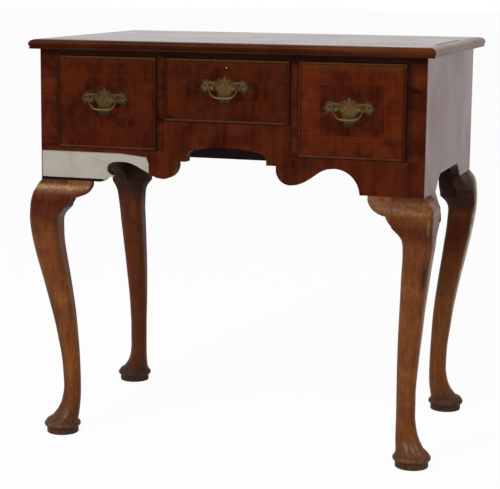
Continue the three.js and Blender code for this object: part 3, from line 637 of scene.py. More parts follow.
def rounded_squares(across, along, inner, rounds, steps):
    """Rows of points round squares with rounded corners, as insets from the case's corner.

    Each square runs from its outer insets to its inner one. A quarter circle lies in each corner. Its radius
    is a share of half the square's width. Straight sides join the quarter circles.
    """
    half = (inner - np.maximum(across, along)) / 2
    a, b, c, d = (np.minimum(rounds, FULLEST_ROUND) * half[:, None]).T
    middle_across = np.stack([across + a, inner - b, inner - c, across + d], 1)
    middle_along = np.stack([along + a, along + b, inner - c, inner - d], 1)
    radii = np.stack([a, b, c, d], 1)
    turn = np.linspace(0, np.pi / 2, steps + 1)
    angles = np.array([np.pi, np.pi * 1.5, 0, np.pi / 2])[:, None] + turn[None, :]
    out = middle_across[:, :, None] + radii[:, :, None] * np.cos(angles)[None]
    back = middle_along[:, :, None] + radii[:, :, None] * np.sin(angles)[None]
    count = len(across)
    return np.stack([out.reshape(count, -1), back.reshape(count, -1)], -1)


def foot_circles(levels, steps):
    """The pad foot as a stack of circles at shares of its height."""
    radius = FOOT_BASE_RADIUS + (FOOT_RIM_RADIUS - FOOT_BASE_RADIUS) * foot_share_at(levels)
    near = FOOT_INSET - radius
    return rounded_squares(near, near, FOOT_INSET + radius, np.ones((len(near), 4)), steps)


def shank_squares(back, share, steps):
    """The leg above its foot as a stack of squares with rounded corners, at shares of its height."""
    outer = leg_outer(share)
    behind = np.where(outer < 0, outer * BACK_KNEE_SHARE, outer) if back else outer
    free, glued = free_share_at(share), glued_share_at(share)
    rounds = (back_arris_share_at(share), free, free, glued)
    if not back:
        rounds = (arris_share_at(share), glued, free, glued)
    return rounded_squares(outer, behind, leg_inner(share), np.stack(rounds, 1), steps)


def placed(section, z, side, back, lean=(0.0, 0.0)):
    """Insets from a corner of the case as points of the table, leaned towards the foot."""
    away = np.maximum(1 - z / (KNEE_HEIGHT_SHARE * leg_height), 0)
    x = side * (half_width - section[..., 0]) + lean[0] * away
    y = (back_y - section[..., 1] if back else front_y + section[..., 1]) + lean[1] * away
    x = np.clip(x, -knee_reach, knee_reach)
    y = np.maximum(y, front_y - KNEE_STAND_OUT)
    return np.stack([x, y, np.broadcast_to(z, x.shape)], -1)


def out_of_true(name, x, share_up):
    """X of a leg's points, with its left and right sides moved by their curves and the rest by shares."""
    left, right = (curve_through(shares)(share_up) for shares in OUT_OF_TRUE[name])
    across = (x - x.min(1, keepdims=True)) / np.ptp(x, axis=1, keepdims=True)
    return np.clip(x + left + (right - left) * across, -knee_reach, knee_reach)


def knee_marks(side, share_up):
    """How far a front knee's polish is rubbed through, and its painted highlight, by share of the leg's
    height.
    """
    place, width, strength = KNEE_HIGHLIGHT[side]
    return ease(share_up, *KNEE_WEAR[side]), strength * bump_at(share_up, place, width)


def leg_brown_and_shade(side, back, share_up):
    """How much of a leg's own brown shows at a share of its height: it turns to deep red under the knees and
    over the back legs, partly the wood's own red and partly painted shade.
    """
    # Painted shade over the back left leg and under the knees, with the wood's own red
    if back:
        return 0.3 + 0 * share_up if side < 0 else 0.85 - 0.75 * bump_at(share_up, 0.75, 0.15)
    if side < 0:
        low = 0.22 * (1 - ease(share_up, 0.45, 0.6))
        return 1 - low - 0.97 * bump_at(share_up, 0.9, 0.1) - 0.25 * bump_at(share_up, 0.68, 0.1)
    return 1 - 0.75 * bump_at(share_up, 0.88, 0.05) - 0.3 * bump_at(share_up, 0.77, 0.1)


def back_leg_wear_and_light(side, z, share_up, bearing, outward):
    """Wear, painted shade and painted highlight of a back leg: painted shade darkens the top, but not the
    right one's outer face, which has a painted highlight.
    """
    worn = 0.25 * bump_at(z, 21, 5) * outward
    if side < 0:
        # Painted shade over the back left leg, darkest at the top under the case
        return worn, 0.12 + 0.76 * ease(share_up, 0.76, 0.88), 0 * outward
    # The back right leg has painted shade at the top but for its outer face, which has a painted highlight
    outer_face = ease(bearing, -1.5, -1.25) * (1 - ease(bearing, -0.2, 0.3))
    grime = (0.12 + 0.83 * ease(share_up, 0.82, 0.87)) * (1 - outer_face)
    line = 0.75 * outer_face * ease(share_up, 0.3, 0.85) * (1 - ease(share_up, 0.985, 0.998))
    return worn, grime, line


def front_leg_wear_and_light(side, z, share_up, bearing, outward):
    """Wear, a stain, painted shade and painted highlights of a front leg.

    The knee, the arris and the toe are rubbed, and the arris's rubbing is also a painted highlight. The
    knee's crest, the toe, the foot's rim and, on the right leg, the knee's arris and left face have painted
    highlights; the shank and pad have painted shade on their shaded side and at the top under the case; and
    one stain lies below the knee. Each
    is a product of humps or eased steps: by share of the leg's height, by height above the floor, and by
    bearing.
    """
    seen = 1 - ease(np.abs(bearing), 1.9, 2.4)
    # The arris's rubbing is also a painted highlight
    arris = bump_at(bearing, 0, 0.12) * ease(share_up, 0.4, 0.75) * (1 - ease(share_up, 0.78, 0.82)) * 0.3
    knee, line = knee_marks(side, share_up)
    if side < 0:
        # Painted highlight along the left knee's crest
        line = line * seen * (0.48 + 0.55 * bump_at(bearing, 0.5, 0.5))
        # Painted shade on the left leg's outer side and on its pad
        dull = 0.45 * (1 - ease(bearing, 0.0, 0.8)) * (1 - ease(share_up, 0.48, 0.68))
        dull = np.maximum(dull, 0.3 * bump_at(z, 38, 14))
    else:
        # Painted highlight along the right knee's crest, its arris and its left face
        line = line * seen + 0.3 * bump_at(bearing, 0.05, 0.06) * bump_at(share_up, 0.905, 0.035)
        line = line + 0.09 * (1 - ease(bearing, -0.5, -0.1)) * bump_at(share_up, 0.76, 0.12)
        # Painted shade on the right leg's inner side
        inner_side = ease(bearing, 1.1, 1.9) * (1 - ease(share_up, 0.5, 0.62))
        dull = inner_side * (0.26 + 0.2 * bump_at(z, 45, 20))
    # Painted highlights on the toe and along the foot's rim
    toe_highlights = sum(bump_at(bearing, place, 0.1) for place in TOE_HIGHLIGHTS[side])
    line = line + 0.45 * toe_highlights * bump_at(z, 34, 8)
    line = line + 0.3 * bump_at(z, 17.5, 1.8) * bump_at(bearing, 0.8, 0.7)
    worn = knee * (0.4 + 0.55 * seen) + arris + 0.35 * bump_at(z, 27, 10) * outward
    stain = bump_at(share_up, 0.715, 0.05) * bump_at(bearing, 0.08, 0.2)
    grime = np.maximum((0.85 if side > 0 else 0.15) * stain, dull)
    # Painted shade at the top of the leg, under the case
    grime = np.maximum(grime, 0.65 * ease(share_up, 0.98, 0.995) * seen)
    return worn, grime, line


def leg_skin(name, side, back, lean, rows, steps):
    """A cabriole leg on its pad foot, as a stack of sections whose insets and rounds are curves by height.

    The pad's upper side has three shallow hollows towards the toe. Bearings run round the leg's middle, from
    nought at the toe to half a turn either way.
    """
    foot_levels = np.linspace(0, 1, FOOT_ROWS)
    share = np.linspace(ANKLE_SHARE, 1, rows)
    sections = np.concatenate([foot_circles(foot_levels, steps), shank_squares(back, share, steps)])
    z = np.r_[foot_levels * FOOT_HEIGHT, share * leg_height][:, None]
    share_up = z / leg_height
    middle = sections.mean(axis=1, keepdims=True)
    spread = sections - middle
    bearing = np.arctan2(spread[..., 1], spread[..., 0]) + np.pi * 0.75
    bearing = (bearing + np.pi) % (2 * np.pi) - np.pi
    hollows = bump_at(z, HOLLOW_LEVEL, HOLLOW_RISE) * bump_at(bearing, 0, HOLLOW_BREADTH)
    hollows = hollows * (1 + np.cos(bearing * HOLLOW_PITCH))
    sections = middle + spread * (1 - HOLLOW_DEPTH_SHARE * hollows)[..., None]
    outward = np.clip(1 - np.abs(bearing) / 1.7, 0, 1)
    wear = back_leg_wear_and_light if back else front_leg_wear_and_light
    worn, grime, line = wear(side, z, share_up, bearing, outward)
    # Dirt and painted shade on the foot: the base disc, the groove above it, and the lower foot away from its
    # outward faces
    grime = np.maximum(grime, (0.8 if back else 0.62) * (1 - ease(z, 9, 12)))
    grime = np.maximum(grime, 0.95 * bump_at(z, 11.1, 1.2))
    grime = np.maximum(grime, (0.66 if back else 0.5) * (1 - ease(z, 20, 60)) * (1 - 0.4 * outward))
    worn = np.clip(worn, 0, 1) * (1 - ease(grime, 0.4, 0.9))
    points = placed(sections, z, side, back, lean)
    points[..., 0] = out_of_true(name, points[..., 0], share_up)
    return skin_over(points, worn=worn, grime=grime, depth=leg_brown_and_shade(side, back, share_up), line=line)


def post_skin(side, back):
    """The leg's square post, which stands in the corner of the case."""
    wall = (back_thickness if back else front_thickness) + JOINT_GAP
    far = LEG_INSIDE - POST_SHOULDER
    y = (back_y - far, back_y - wall) if back else (front_y + wall, front_y + far)
    x = sorted((side * (half_width - side_thickness - JOINT_GAP), side * (half_width - far)))
    return softened_block(x, y, (leg_height - POST_ROOT, post_top), edge=0.6)


def bracket_outline():
    """Lower edge of a knee bracket, as distance from the leg and drop: two curves that meet in a cusp."""
    inner = bend(BRACKET_INNER, np.linspace(0, 1, 14))
    outer = bend(BRACKET_OUTER, np.linspace(0, 1, 26))
    return np.vstack([inner, outer[1:]]) * (BRACKET_LENGTH, BRACKET_DROP)


def bracket_skin(side, back, along_front):
    """A knee bracket: the leg's own front curve carried away from the leg, flattening towards the tip.

    The face turns in towards the lower edge by a quarter round of the distance from it.
    """
    outline = bracket_outline()
    away, drop = outline[:, :1], outline[:, 1:]
    none, whole = np.zeros_like(drop), np.ones_like(drop)
    swell = 1 - BRACKET_FLATTEN * (away / BRACKET_LENGTH) ** 1.5
    down = (0.5 - 0.5 * np.cos(np.linspace(0, np.pi, 36)))[None, :] * drop
    spots = np.stack([np.broadcast_to(away, down.shape).ravel(), down.ravel()], 1)
    from_edge = distance_to(outline, spots, closed=False).reshape(down.shape)
    edge = BRACKET_ROUND + BRACKET_ROUND_BY_LEG * (1 - ease(away, 0, 10))
    into = np.clip(1 - from_edge / edge, 0, 1)
    depth = leg_outer(1 - down / leg_height) * swell + edge * (1 - np.sqrt(1 - into**2 * 0.995))
    depth = np.hstack([depth, whole * BRACKET_THICKNESS, whole * BRACKET_THICKNESS])
    below = np.hstack([down, drop, none])
    distance = np.broadcast_to(LEG_INSIDE + JOINT_GAP + away, depth.shape)
    insets = (distance, depth) if along_front else (depth, distance)
    points = placed(np.stack(insets, -1), leg_height - below, side, back)
    share_up = 1 - below / leg_height
    # Painted shade on the bracket's underside and towards its lower edge
    grime = ease(np.hstack([into, whole, none]), 0.45, 1.0) * 0.5
    worn, line = knee_marks(side, share_up)
    worn = worn * (0.95 - (0.75 if side < 0 else 0.5) * away / BRACKET_LENGTH)
    # The knee's painted highlight carried onto the bracket, fading towards the tip
    line = line * (0.6 - 0.3 * away / BRACKET_LENGTH)
    # The back brackets are dark all over with painted shade, and have no wear or highlight
    if back:
        grime = np.maximum(grime, 0.85)
        worn, line = worn * 0, line * 0
    hidden = np.zeros_like(depth)
    hidden[:, -2:] = 1
    shown = 1 - hidden
    grime = np.maximum(grime, hidden)
    brown_and_shade = leg_brown_and_shade(side, back, share_up)
    return skin_over(points, worn=worn * shown, line=line * shown, grime=grime, depth=brown_and_shade)


# Mouldings


def lip_section():
    """Section of the top's moulding by distance in from the edge and height: strip, fillets, quarter oval."""
    top = box_mm("top_board")[1][2]
    turn = np.linspace(0, np.pi / 2, 15)
    across = LIP_ROUND_WIDTH * (1 - np.cos(turn))
    oval = np.stack([across, top - LIP_ROUND_HEIGHT + LIP_ROUND_HEIGHT * np.sin(turn)], 1)
    soft = np.linspace(0, np.pi / 2, 5)
    neck = case_top + LIP_FILLET_HEIGHT
    low_edge = np.stack([LIP_SOFT_EDGE * (1 - np.sin(soft)), neck + LIP_SOFT_EDGE * (1 - np.cos(soft))], 1)
    strip = case_top - STRIP_DROP
    under = [
        (LIP_WIDTH, case_top),
        (STRIP_BACK, case_top),
        (STRIP_BACK, strip),
        (STRIP_FRONT + STRIP_SOFT_EDGE, strip),
        (STRIP_FRONT, strip + STRIP_SOFT_EDGE),
        (STRIP_FRONT, case_top - 0.2),
        (LIP_FILLET_DEPTH, case_top + 0.3),
        (LIP_FILLET_DEPTH, neck),
    ]
    return np.vstack([under, low_edge, oval, [(LIP_WIDTH, top)]])


def lip_rings(section, starts, ends, outward, count):
    """The moulding's section carried in a straight line; each point keeps its own distance from the edge.

    The mitres come from the inset of each point, and the edge wanders by a tenth of a millimetre as worn wood
    does, by the product of three sines.
    """
    share = np.linspace(0, 1, count)[:, None]
    run = starts[None] * (1 - share[..., None]) + ends[None] * share[..., None]
    outer = np.clip(1 - section[:, 0] / 6, 0, 1)[None, :]
    wander = EDGE_WANDER * np.sin(share * 41.0) * np.sin(share * 17.0 + 1.0) * np.sin(np.pi * share)
    return run - outward[None, None, :] * np.abs(wander * outer)[..., None]


def bead_skin(x, z, width, rubbed, steps=14, run=24):
    """A half round moulding carried round a rectangle, with a mitre in each corner.

    Each point of the section keeps its inset from the rectangle, so the mitres come by themselves.
    """
    turn = np.linspace(0, np.pi, steps + 1)
    inset = np.r_[(width / 2) * (1 - np.cos(turn)), width, 0]
    y = np.r_[front_y - BEAD_STAND_OUT * np.sin(turn), front_y + BEAD_DEPTH, front_y + BEAD_DEPTH]
    corners = np.array([[0, 0], [1, 0], [1, 1], [0, 1], [0, 0]], float)
    share = np.linspace(0, 1, run, endpoint=False)[:, None]
    path = np.concatenate([a * (1 - share) + b * share for a, b in zip(corners, corners[1:])])
    left, right = x[0] + inset, x[1] - inset
    bottom, top = z[0] + inset, z[1] - inset
    across = left[None, :] * (1 - path[:, :1]) + right[None, :] * path[:, :1]
    height = bottom[None, :] * (1 - path[:, 1:]) + top[None, :] * path[:, 1:]
    rings = np.stack([across, np.broadcast_to(y, across.shape), height], -1)
    # Paleness of each run: rubbed wood and painted light
    rub = np.repeat(rubbed, run)[:, None]
    return skin_over(rings, joined=True, crest=np.r_[np.sin(turn), 0, 0], rub=rub)


# Handles


def plate_outline():
    """Outline of a back plate about its middle, across and up."""
    right = np.array(PLATE_SHARES) * (PLATE_WIDTH / 2, 1)
    right[:, 1] *= np.where(right[:, 1] > 0, PLATE_RISE, PLATE_DROP)
    half = smooth_path(right, 150)
    mirror = half[-2:0:-1] * (-1, 1)
    return np.vstack([half, mirror])


def plate_holes():
    """Outlines of the round piercings."""
    turn = around(14)
    circle = np.stack([np.cos(turn), np.sin(turn)], 1)
    holes = []
    for across, up, radius in PIERCING_SHARES:
        level = up * (PLATE_RISE if up > 0 else PLATE_DROP)
        for hand in (-1, 1) if across else (1,):
            middle = (hand * across * PLATE_WIDTH / 2, level)
            holes.append(circle * radius * PLATE_WIDTH / 2 + middle)
    return holes


def plate_net(outline, holes, step=0.95):
    """A fine net of points in alternate rows, inside the outline and clear of every edge."""
    row = np.arange(-PLATE_WIDTH / 2, PLATE_WIDTH / 2, step)
    column = np.arange(-PLATE_DROP, PLATE_RISE, step * 0.87)
    net_x, net_z = np.meshgrid(row, column)
    net_x = net_x + (np.arange(len(column)) % 2)[:, None] * step / 2
    net = np.stack([net_x.ravel(), net_z.ravel()], 1)
    net = net[inside(outline, net)]
    net = net[distance_to(outline, net) > 0.45]
    for hole in holes:
        net = net[~inside(hole, net) & (distance_to(hole, net) > 0.35)]
    return net


def plate_triangles(outline, holes):
    """Points of a pierced plate, and the triangles between them, turned to face forward."""
    loops = [outline, *holes]
    points = np.vstack([*loops, plate_net(outline, holes)])
    starts = np.cumsum([0] + [len(loop) for loop in loops[:-1]])
    edges = []
    for loop, start in zip(loops, starts):
        around_loop = np.arange(len(loop))
        edges += np.stack([start + around_loop, start + (around_loop + 1) % len(loop)], 1).tolist()
    flat, _, triangles, *_ = delaunay_2d_cdt([Vector(p) for p in points.tolist()], edges, [], 0, 1e-6)
    flat = np.array([tuple(p) for p in flat])
    triangles = np.array(triangles)
    middles = flat[triangles].mean(1)
    kept = inside(outline, middles)
    for hole in holes:
        kept &= ~inside(hole, middles)
    triangles = triangles[kept]
    first, second, third = (flat[triangles[:, k]] for k in range(3))
    area = (second[:, 0] - first[:, 0]) * (third[:, 1] - first[:, 1])
    area = area - (second[:, 1] - first[:, 1]) * (third[:, 0] - first[:, 0])
    return flat, np.where((area > 0)[:, None], triangles, triangles[:, ::-1])


def scroll(x, z, middle, pitch, hand, reach):
    """A chased scroll: waves by distance from its middle that turn with the bearing, fading outwards."""
    across, up = x - middle[0], z - middle[1]
    away = np.hypot(across, up)
    return (0.5 + 0.5 * np.cos(away * pitch + hand * np.arctan2(up, across))) * bump_at(away, 0, reach)


def plate_relief(points, outline):
    """Height of the chased plate, from nought to one.

    It has a bevelled rim, an oval boss in a ring, a scroll on each side of it and in each wing, bars between
    them, and a fan in the crown. Each is a hump of its distance from its own line or middle.
    """
    x, z = np.abs(points[:, 0]), points[:, 1]
    edge = distance_to(outline, points)
    rim = 1 - 0.85 * np.exp(-((edge / 1.1) ** 2))
    groove = 0.35 * bump_at(edge, 2.5, 0.5)
    radius = np.hypot(x / 1.1, (z - BOSS_LEVEL) / 1.3)
    boss = 0.9 * bump_at(radius, 0, 3.6) + 0.85 * bump_at(radius, 7.0, 1.1) * np.minimum(x / 6, 1)
    scrolls = scroll(x, z, INNER_SCROLL, 1.7, 1, 6.0) + scroll(x, z, WING_SCROLL, 1.9, -1, 6.5)
    bars = bump_at(z, 9.0, 1.1) + 0.7 * bump_at(z, -3.0, 1.1)
    bars = bars * ease(x, 14, 18) * (1 - ease(x, 26, 30))
    root, crown = FAN_LEVELS
    fan = (0.5 + 0.5 * np.cos(np.arctan2(x, z - root) * 9)) * bump_at(np.hypot(x, z - crown), 0, 6.5)
    return rim * (0.46 + 0.5 * boss + 0.45 * scrolls + 0.4 * bars + 0.4 * fan) - groove * rim


def plate_skin(relief):
    """A pierced back plate about its middle.

    The face's height follows the relief, the back is flat, and a wall joins them round every edge: the sides
    of triangles that no neighbour shares.
    """
    outline = plate_outline()
    flat, triangles = plate_triangles(outline, plate_holes())
    chasing = plate_relief(flat, outline)
    height = PLATE_THICKNESS * 0.62 + relief * METRE * 2.6 * np.clip(chasing, 0, 1.3)
    count = len(flat)
    front = np.stack([flat[:, 0], -height, flat[:, 1]], 1)
    rear = np.stack([flat[:, 0], np.zeros(count), flat[:, 1]], 1)
    sides = np.concatenate([triangles[:, [0, 1]], triangles[:, [1, 2]], triangles[:, [2, 0]]])
    twin = set(map(tuple, sides[:, ::-1].tolist()))
    rim = np.array([side for side in map(tuple, sides.tolist()) if side not in twin])
    wall = np.stack([rim[:, 1], rim[:, 0], rim[:, 0] + count, rim[:, 1] + count], 1)
    tarnish = np.clip(1.3 - 1.5 * chasing, 0, 1) + 0.4 * bump_at(distance_to(outline, flat), 0, 0.8)
    faces = [triangles, triangles[:, ::-1] + count, wall]
    return Skin(np.vstack([front, rear]), faces, tarnish=np.r_[tarnish, np.full(count, 0.8)])


def post_skins(x):
    """A post beside the plate's middle: a turned shank and nut, and a ball pierced for the bail's pin."""
    pivot = PLATE_THICKNESS + PIVOT_STAND_OFF
    back = box_mm("drawer_left_front")[1][1] - front_y
    profile = [
        (0.02, back + 2.6), (4.3, back + 2.6), (4.6, back + 2.3), (4.6, back + 0.3), (4.3, back),
        (1.9, back), (1.9, -0.8), (3.6, -0.8), (3.9, -1.1), (3.9, -2.3), (3.5, -2.9), (2.9, -3.3),
        (2.35, -3.8), (2.1, -4.4), (2.1, -5.4), (2.35, -6.6), (2.6, -pivot + 2.6), (1.2, -pivot + 2.3),
        (0.02, -pivot + 2.2),
    ]
    shank = lathe(profile, count=28) + np.array([x, 0, 0])
    reach = math.sqrt(POST_BALL_RADIUS**2 - PIN_HOLE_RADIUS**2)
    limit = math.asin(reach / POST_BALL_RADIUS)
    turn = np.linspace(-limit, limit, 17)
    bore = np.linspace(reach, -reach, 9)[1:-1]
    ball_along = np.r_[POST_BALL_RADIUS * np.sin(turn), bore]
    ball_out = np.r_[POST_BALL_RADIUS * np.cos(turn), np.full_like(bore, PIN_HOLE_RADIUS)]
    bearing = around(30)[:, None]
    out = -pivot + ball_out[None, :] * np.cos(bearing)
    up = ball_out[None, :] * np.sin(bearing)
    ring = np.stack([np.broadcast_to(x + ball_along[None, :], out.shape), out, up], -1)
    return [skin_over(shank, tarnish=0.35), skin_over(ring, joined=True, tarnish=0.2)]


def bail_skin(steps=170, sides=20):
    """The bail about its pivots: a bar whose thickness swells to its middle, carried along its drop.

    A ring is turned at its middle, and a small collar stands inside each pin.
    """
    right = np.array(BAIL_SHARES) * (BAIL_WIDTH / 2, BAIL_DROP)
    path = smooth_path(np.vstack([right * (-1, 1), right[::-1]]), steps)
    share = np.linspace(0, 1, steps + 1)
    tangent = np.gradient(path, axis=0)
    tangent = tangent / np.linalg.norm(tangent, axis=1, keepdims=True)
    radius = PIN_RADIUS + (BAIL_MIDDLE_RADIUS - PIN_RADIUS) * np.sin(np.pi * share) ** 1.5
    radius = radius + sum(height * bump_at(share, place, width) for place, width, height in BAIL_RINGS)
    turn = around(sides)
    lift = radius[:, None] * np.cos(turn)[None, :]
    out = radius[:, None] * np.sin(turn)[None, :]
    rings = np.stack([path[:, :1] - tangent[:, 1:] * lift, out, path[:, 1:] + tangent[:, :1] * lift], -1)
    rub = 0.25 + 0.4 * (1 - np.sin(np.pi * share))
    return skin_over(rings, tarnish=rub[:, None])


def lock_pin():
    """The pin in the keyhole that a pipe key turns on: a rounded rod turned about its own axis."""
    keyhole = box_mm("lock_case")[1][2] - KEYHOLE_DROP
    root, end = front_y + PIN_ROOT, front_y + PIN_END
    profile = [(0.02, root), (1.2, root), (1.2, end + 0.7), (1.1, end + 0.35), (0.7, end + 0.1), (0.02, end)]
    # No tarnish, so the pin's pale brass shows as a painted glint
    return skin_over(lathe(profile, count=20) + np.array([0, 0, keyhole]), tarnish=-0.4)


# Finishes


class Nodes:
    """The shader nodes of a material or a world being made: each call adds one node and joins it up."""

    def __init__(self, owner):
        owner.use_nodes = True
        self.nodes, self.links = owner.node_tree.nodes, owner.node_tree.links

    def add(self, kind, values=None, **settings):
        """A node of one kind, with its settings and the values or links of its inputs."""
        node = self.nodes.new(kind)
        for name, value in settings.items():
            setattr(node, name, value)
        for name, value in (values or {}).items():
            self.give(node.inputs[name], value)
        return node

    def give(self, socket, value):
        """Links a socket, or sets its own value."""
        if isinstance(value, bpy.types.NodeSocket):
            self.links.new(value, socket)
        else:
            socket.default_value = value

    def math(self, operation, a, b=0.0, c=0.5):
        """One arithmetic step."""
        return self.add("ShaderNodeMath", {0: a, 1: b, 2: c}, operation=operation).outputs[0]

    def times(self, a, b):
        """The product of two values."""
        return self.math("MULTIPLY", a, b)

    def plus(self, a, b):
        """The sum of two values."""
        return self.math("ADD", a, b)

    def less(self, a, b):
        """The first value less the second."""
        return self.math("SUBTRACT", a, b)

    def most(self, a, b):
        """The greater of two values."""
        return self.math("MAXIMUM", a, b)

    def least(self, a, b):
        """The smaller of two values."""
        return self.math("MINIMUM", a, b)

    def below(self, a, b):
        """One where the first value lies below the second."""
        return self.math("LESS_THAN", a, b)


class Finish(Nodes):
    """A material being made."""

    def __init__(self, name, roughness=0.4, ior=1.3, metallic=0.0):
        self.material = bpy.data.materials.new(name)
        super().__init__(self.material)
        self.shader = self.nodes["Principled BSDF"]
        self.shader.inputs["Roughness"].default_value = roughness
        self.shader.inputs["IOR"].default_value = ior
        self.shader.inputs["Metallic"].default_value = metallic
        self.place = self.nodes.new("ShaderNodeTexCoord").outputs["Object"]

    def away(self, value, middle=0.0):
        """Distance of a value from a middle."""
        return self.math("ABSOLUTE", self.less(value, middle) if middle else value)

    def seam(self, value, place, half_width):
        """One where the value is as near to a place as half the seam's width."""
        return self.math("COMPARE", value, place, half_width)

    def stretched(self, scale, at=None, turn=(0, 0, 0), move=(0, 0, 0)):
        """The place on the piece, stretched, turned and moved."""
        values = {"Vector": at or self.place, "Scale": scale, "Rotation": turn, "Location": move}
        return self.add("ShaderNodeMapping", values).outputs["Vector"]

    def noise(self, at, scale, detail=4.0, roughness=0.55, distortion=0.0):
        """Cloudy noise, about a half on average."""
        values = {"Vector": at, "Scale": scale, "Detail": detail}
        values.update({"Roughness": roughness, "Distortion": distortion})
        return self.add("ShaderNodeTexNoise", values).outputs["Fac"]

    def ramp(self, factor, stops):
        """Colours at places between nought and one."""
        node = self.add("ShaderNodeValToRGB", {"Fac": factor})
        points = node.color_ramp.elements
        while len(points) < len(stops):
            points.new(0.5)
        for point, (place, colour) in zip(points, stops):
            point.position = place
            point.color = colour
        return node.outputs["Color"]

    def tones(self, factor, tone, stops):
        """One tone at places between nought and one, made lighter or darker by a share at each."""
        return self.ramp(factor, [(place, tinted(tone, share)) for place, share in stops])

    def mix(self, factor, a, b, blend="MIX"):
        """One colour over another."""
        values = {0: factor, 6: a, 7: b}
        return self.add("ShaderNodeMix", values, data_type="RGBA", blend_type=blend).outputs[2]

    def level(self, value, low, high, to_low=0.0, to_high=1.0):
        """A value between two limits spread over another two, and held inside them."""
        values = {"Value": value, 1: low, 2: high, 3: to_low, 4: to_high}
        return self.add("ShaderNodeMapRange", values, clamp=True).outputs["Result"]

    def spread(self, noise, low, high):
        """A noise's usual range spread over another."""
        return self.level(noise, 0.3, 0.7, low, high)

    def parts(self):
        """The three parts of the place on the piece."""
        return self.add("ShaderNodeSeparateXYZ", {"Vector": self.place}).outputs

    def attribute(self, name):
        """A value kept at each point of the mesh."""
        return self.add("ShaderNodeAttribute", attribute_name=name, attribute_type="GEOMETRY").outputs["Fac"]

    def relief(self, height, distance, strength=1.0):
        """Bumps from a height, on the shader's normal."""
        node = self.add("ShaderNodeBump", {"Height": height, "Distance": distance, "Strength": strength})
        self.links.new(node.outputs["Normal"], self.shader.inputs["Normal"])

    def done(self, colour, roughness):
        """The material, with its last links: colour and roughness."""
        self.give(self.shader.inputs["Base Color"], colour)
        self.give(self.shader.inputs["Roughness"], roughness)
        return self.material


def tinted(colour, by):
    """A colour made lighter or darker by one share, or by a share for each of its three parts."""
    shares = by if hasattr(by, "__len__") else (by, by, by)
    return (*(min(channel * share, 1.0) for channel, share in zip(colour[:3], shares)), 1.0)


GRAIN_STRETCH = {"x": (0.06, 1, 1), "y": (1, 0.06, 1), "z": (1, 1, 0.06)}


def grain_parts(finish, grain, move=(0, 0, 0), line_scale=150.0, cloud_scale=11.0, waviness=0.5):
    """Clouds, grain lines and pores of a board whose grain runs along one axis."""
    moved = finish.stretched((1, 1, 1), move=move)
    clouds = finish.noise(moved, scale=cloud_scale, detail=3.0, roughness=0.5, distortion=0.8)
    lines = finish.noise(
        finish.stretched(GRAIN_STRETCH[grain], moved),
        scale=line_scale, detail=5.0, roughness=0.62, distortion=waviness,
    )
    fine = tuple(share * (0.4 if share < 1 else 1) for share in GRAIN_STRETCH[grain])
    pores = finish.noise(finish.stretched(fine, moved), scale=line_scale * 6, detail=2.0, roughness=0.5)
    return clouds, lines, pores


def walnut_colour(finish, grain, tone, contrast=1.0, **choices):
    """Walnut between a dark and a light of one tone, by its clouds, lines and pores."""
    clouds, lines, pores = grain_parts(finish, grain, **choices)
    figure = finish.plus(finish.times(clouds, 0.5), finish.times(lines, 0.5))
    dark = (1 - 0.5 * contrast, 1 - 0.6 * contrast, 1 - 0.6 * contrast)
    light = (1 + 0.5 * contrast, 1 + 0.65 * contrast, 1 + 0.5 * contrast)
    colour = finish.tones(figure, tone, [(0.34, dark), (0.5, 1), (0.66, light)])
    holes = finish.level(pores, 0.58, 0.7)
    colour = finish.mix(finish.times(holes, 0.35), colour, tinted(tone, 0.3))
    height = finish.less(finish.times(lines, 0.4), holes)
    return colour, height, clouds


def veneer_over_oak(finish, colour, settings):
    """The veneer's colour on the face and the ground wood's behind it, by the distance behind the face."""
    _, y, _ = finish.parts()
    behind = finish.level(y, (front_y + 1.6) / METRE, (front_y + 1.65) / METRE)
    lines = finish.noise(finish.stretched((1, 0.06, 1)), scale=120.0, detail=4.0)
    oak = finish.tones(lines, settings.woods.oak, [(0.35, 0.6), (0.65, 1)])
    return finish.mix(behind, colour, oak)


def front_shadows(finish):
    """How much painted shadow falls under the top and beside the drawers: more on the right of each than on
    its left.
    """
    x, _, z = finish.parts()
    total = finish.level(z, (case_top - 24) / METRE, (case_top - 4) / METRE, 0.0, 0.55)
    for drawer in DRAWERS:
        low, high = (corner[0] / METRE for corner in box_mm(drawer + "_bead"))
        wide, left_strength = (0.013, 0.1) if drawer == "drawer_right" else (0.0065, 0.35)
        for middle, fade, strength in ((high + 0.001, wide, 0.72), (low - 0.001, 0.006, left_strength)):
            total = finish.most(total, finish.level(finish.away(x, middle), 0.001, fade, strength, 0.0))
    return total


def front_walnut(name, settings, grain, move=(0, 0, 0), tone=None, shadowed=False, **choices):
    """Polished veneer of the front, with painted shadow under the top and beside the drawers where asked."""
    finish = Finish(name, roughness=0.3, ior=1.13)
    tone = tone or settings.woods.front
    colour, height, clouds = walnut_colour(finish, grain, tone, move=move, **choices)
    if shadowed:
        # Painted shadow under the top's overhang and beside the drawers' beads
        colour = finish.mix(front_shadows(finish), colour, DRAWER_SHADOW)
    finish.relief(height, distance=0.00012, strength=0.35)
    return finish.done(veneer_over_oak(finish, colour, settings), finish.spread(clouds, 0.3, 0.45))


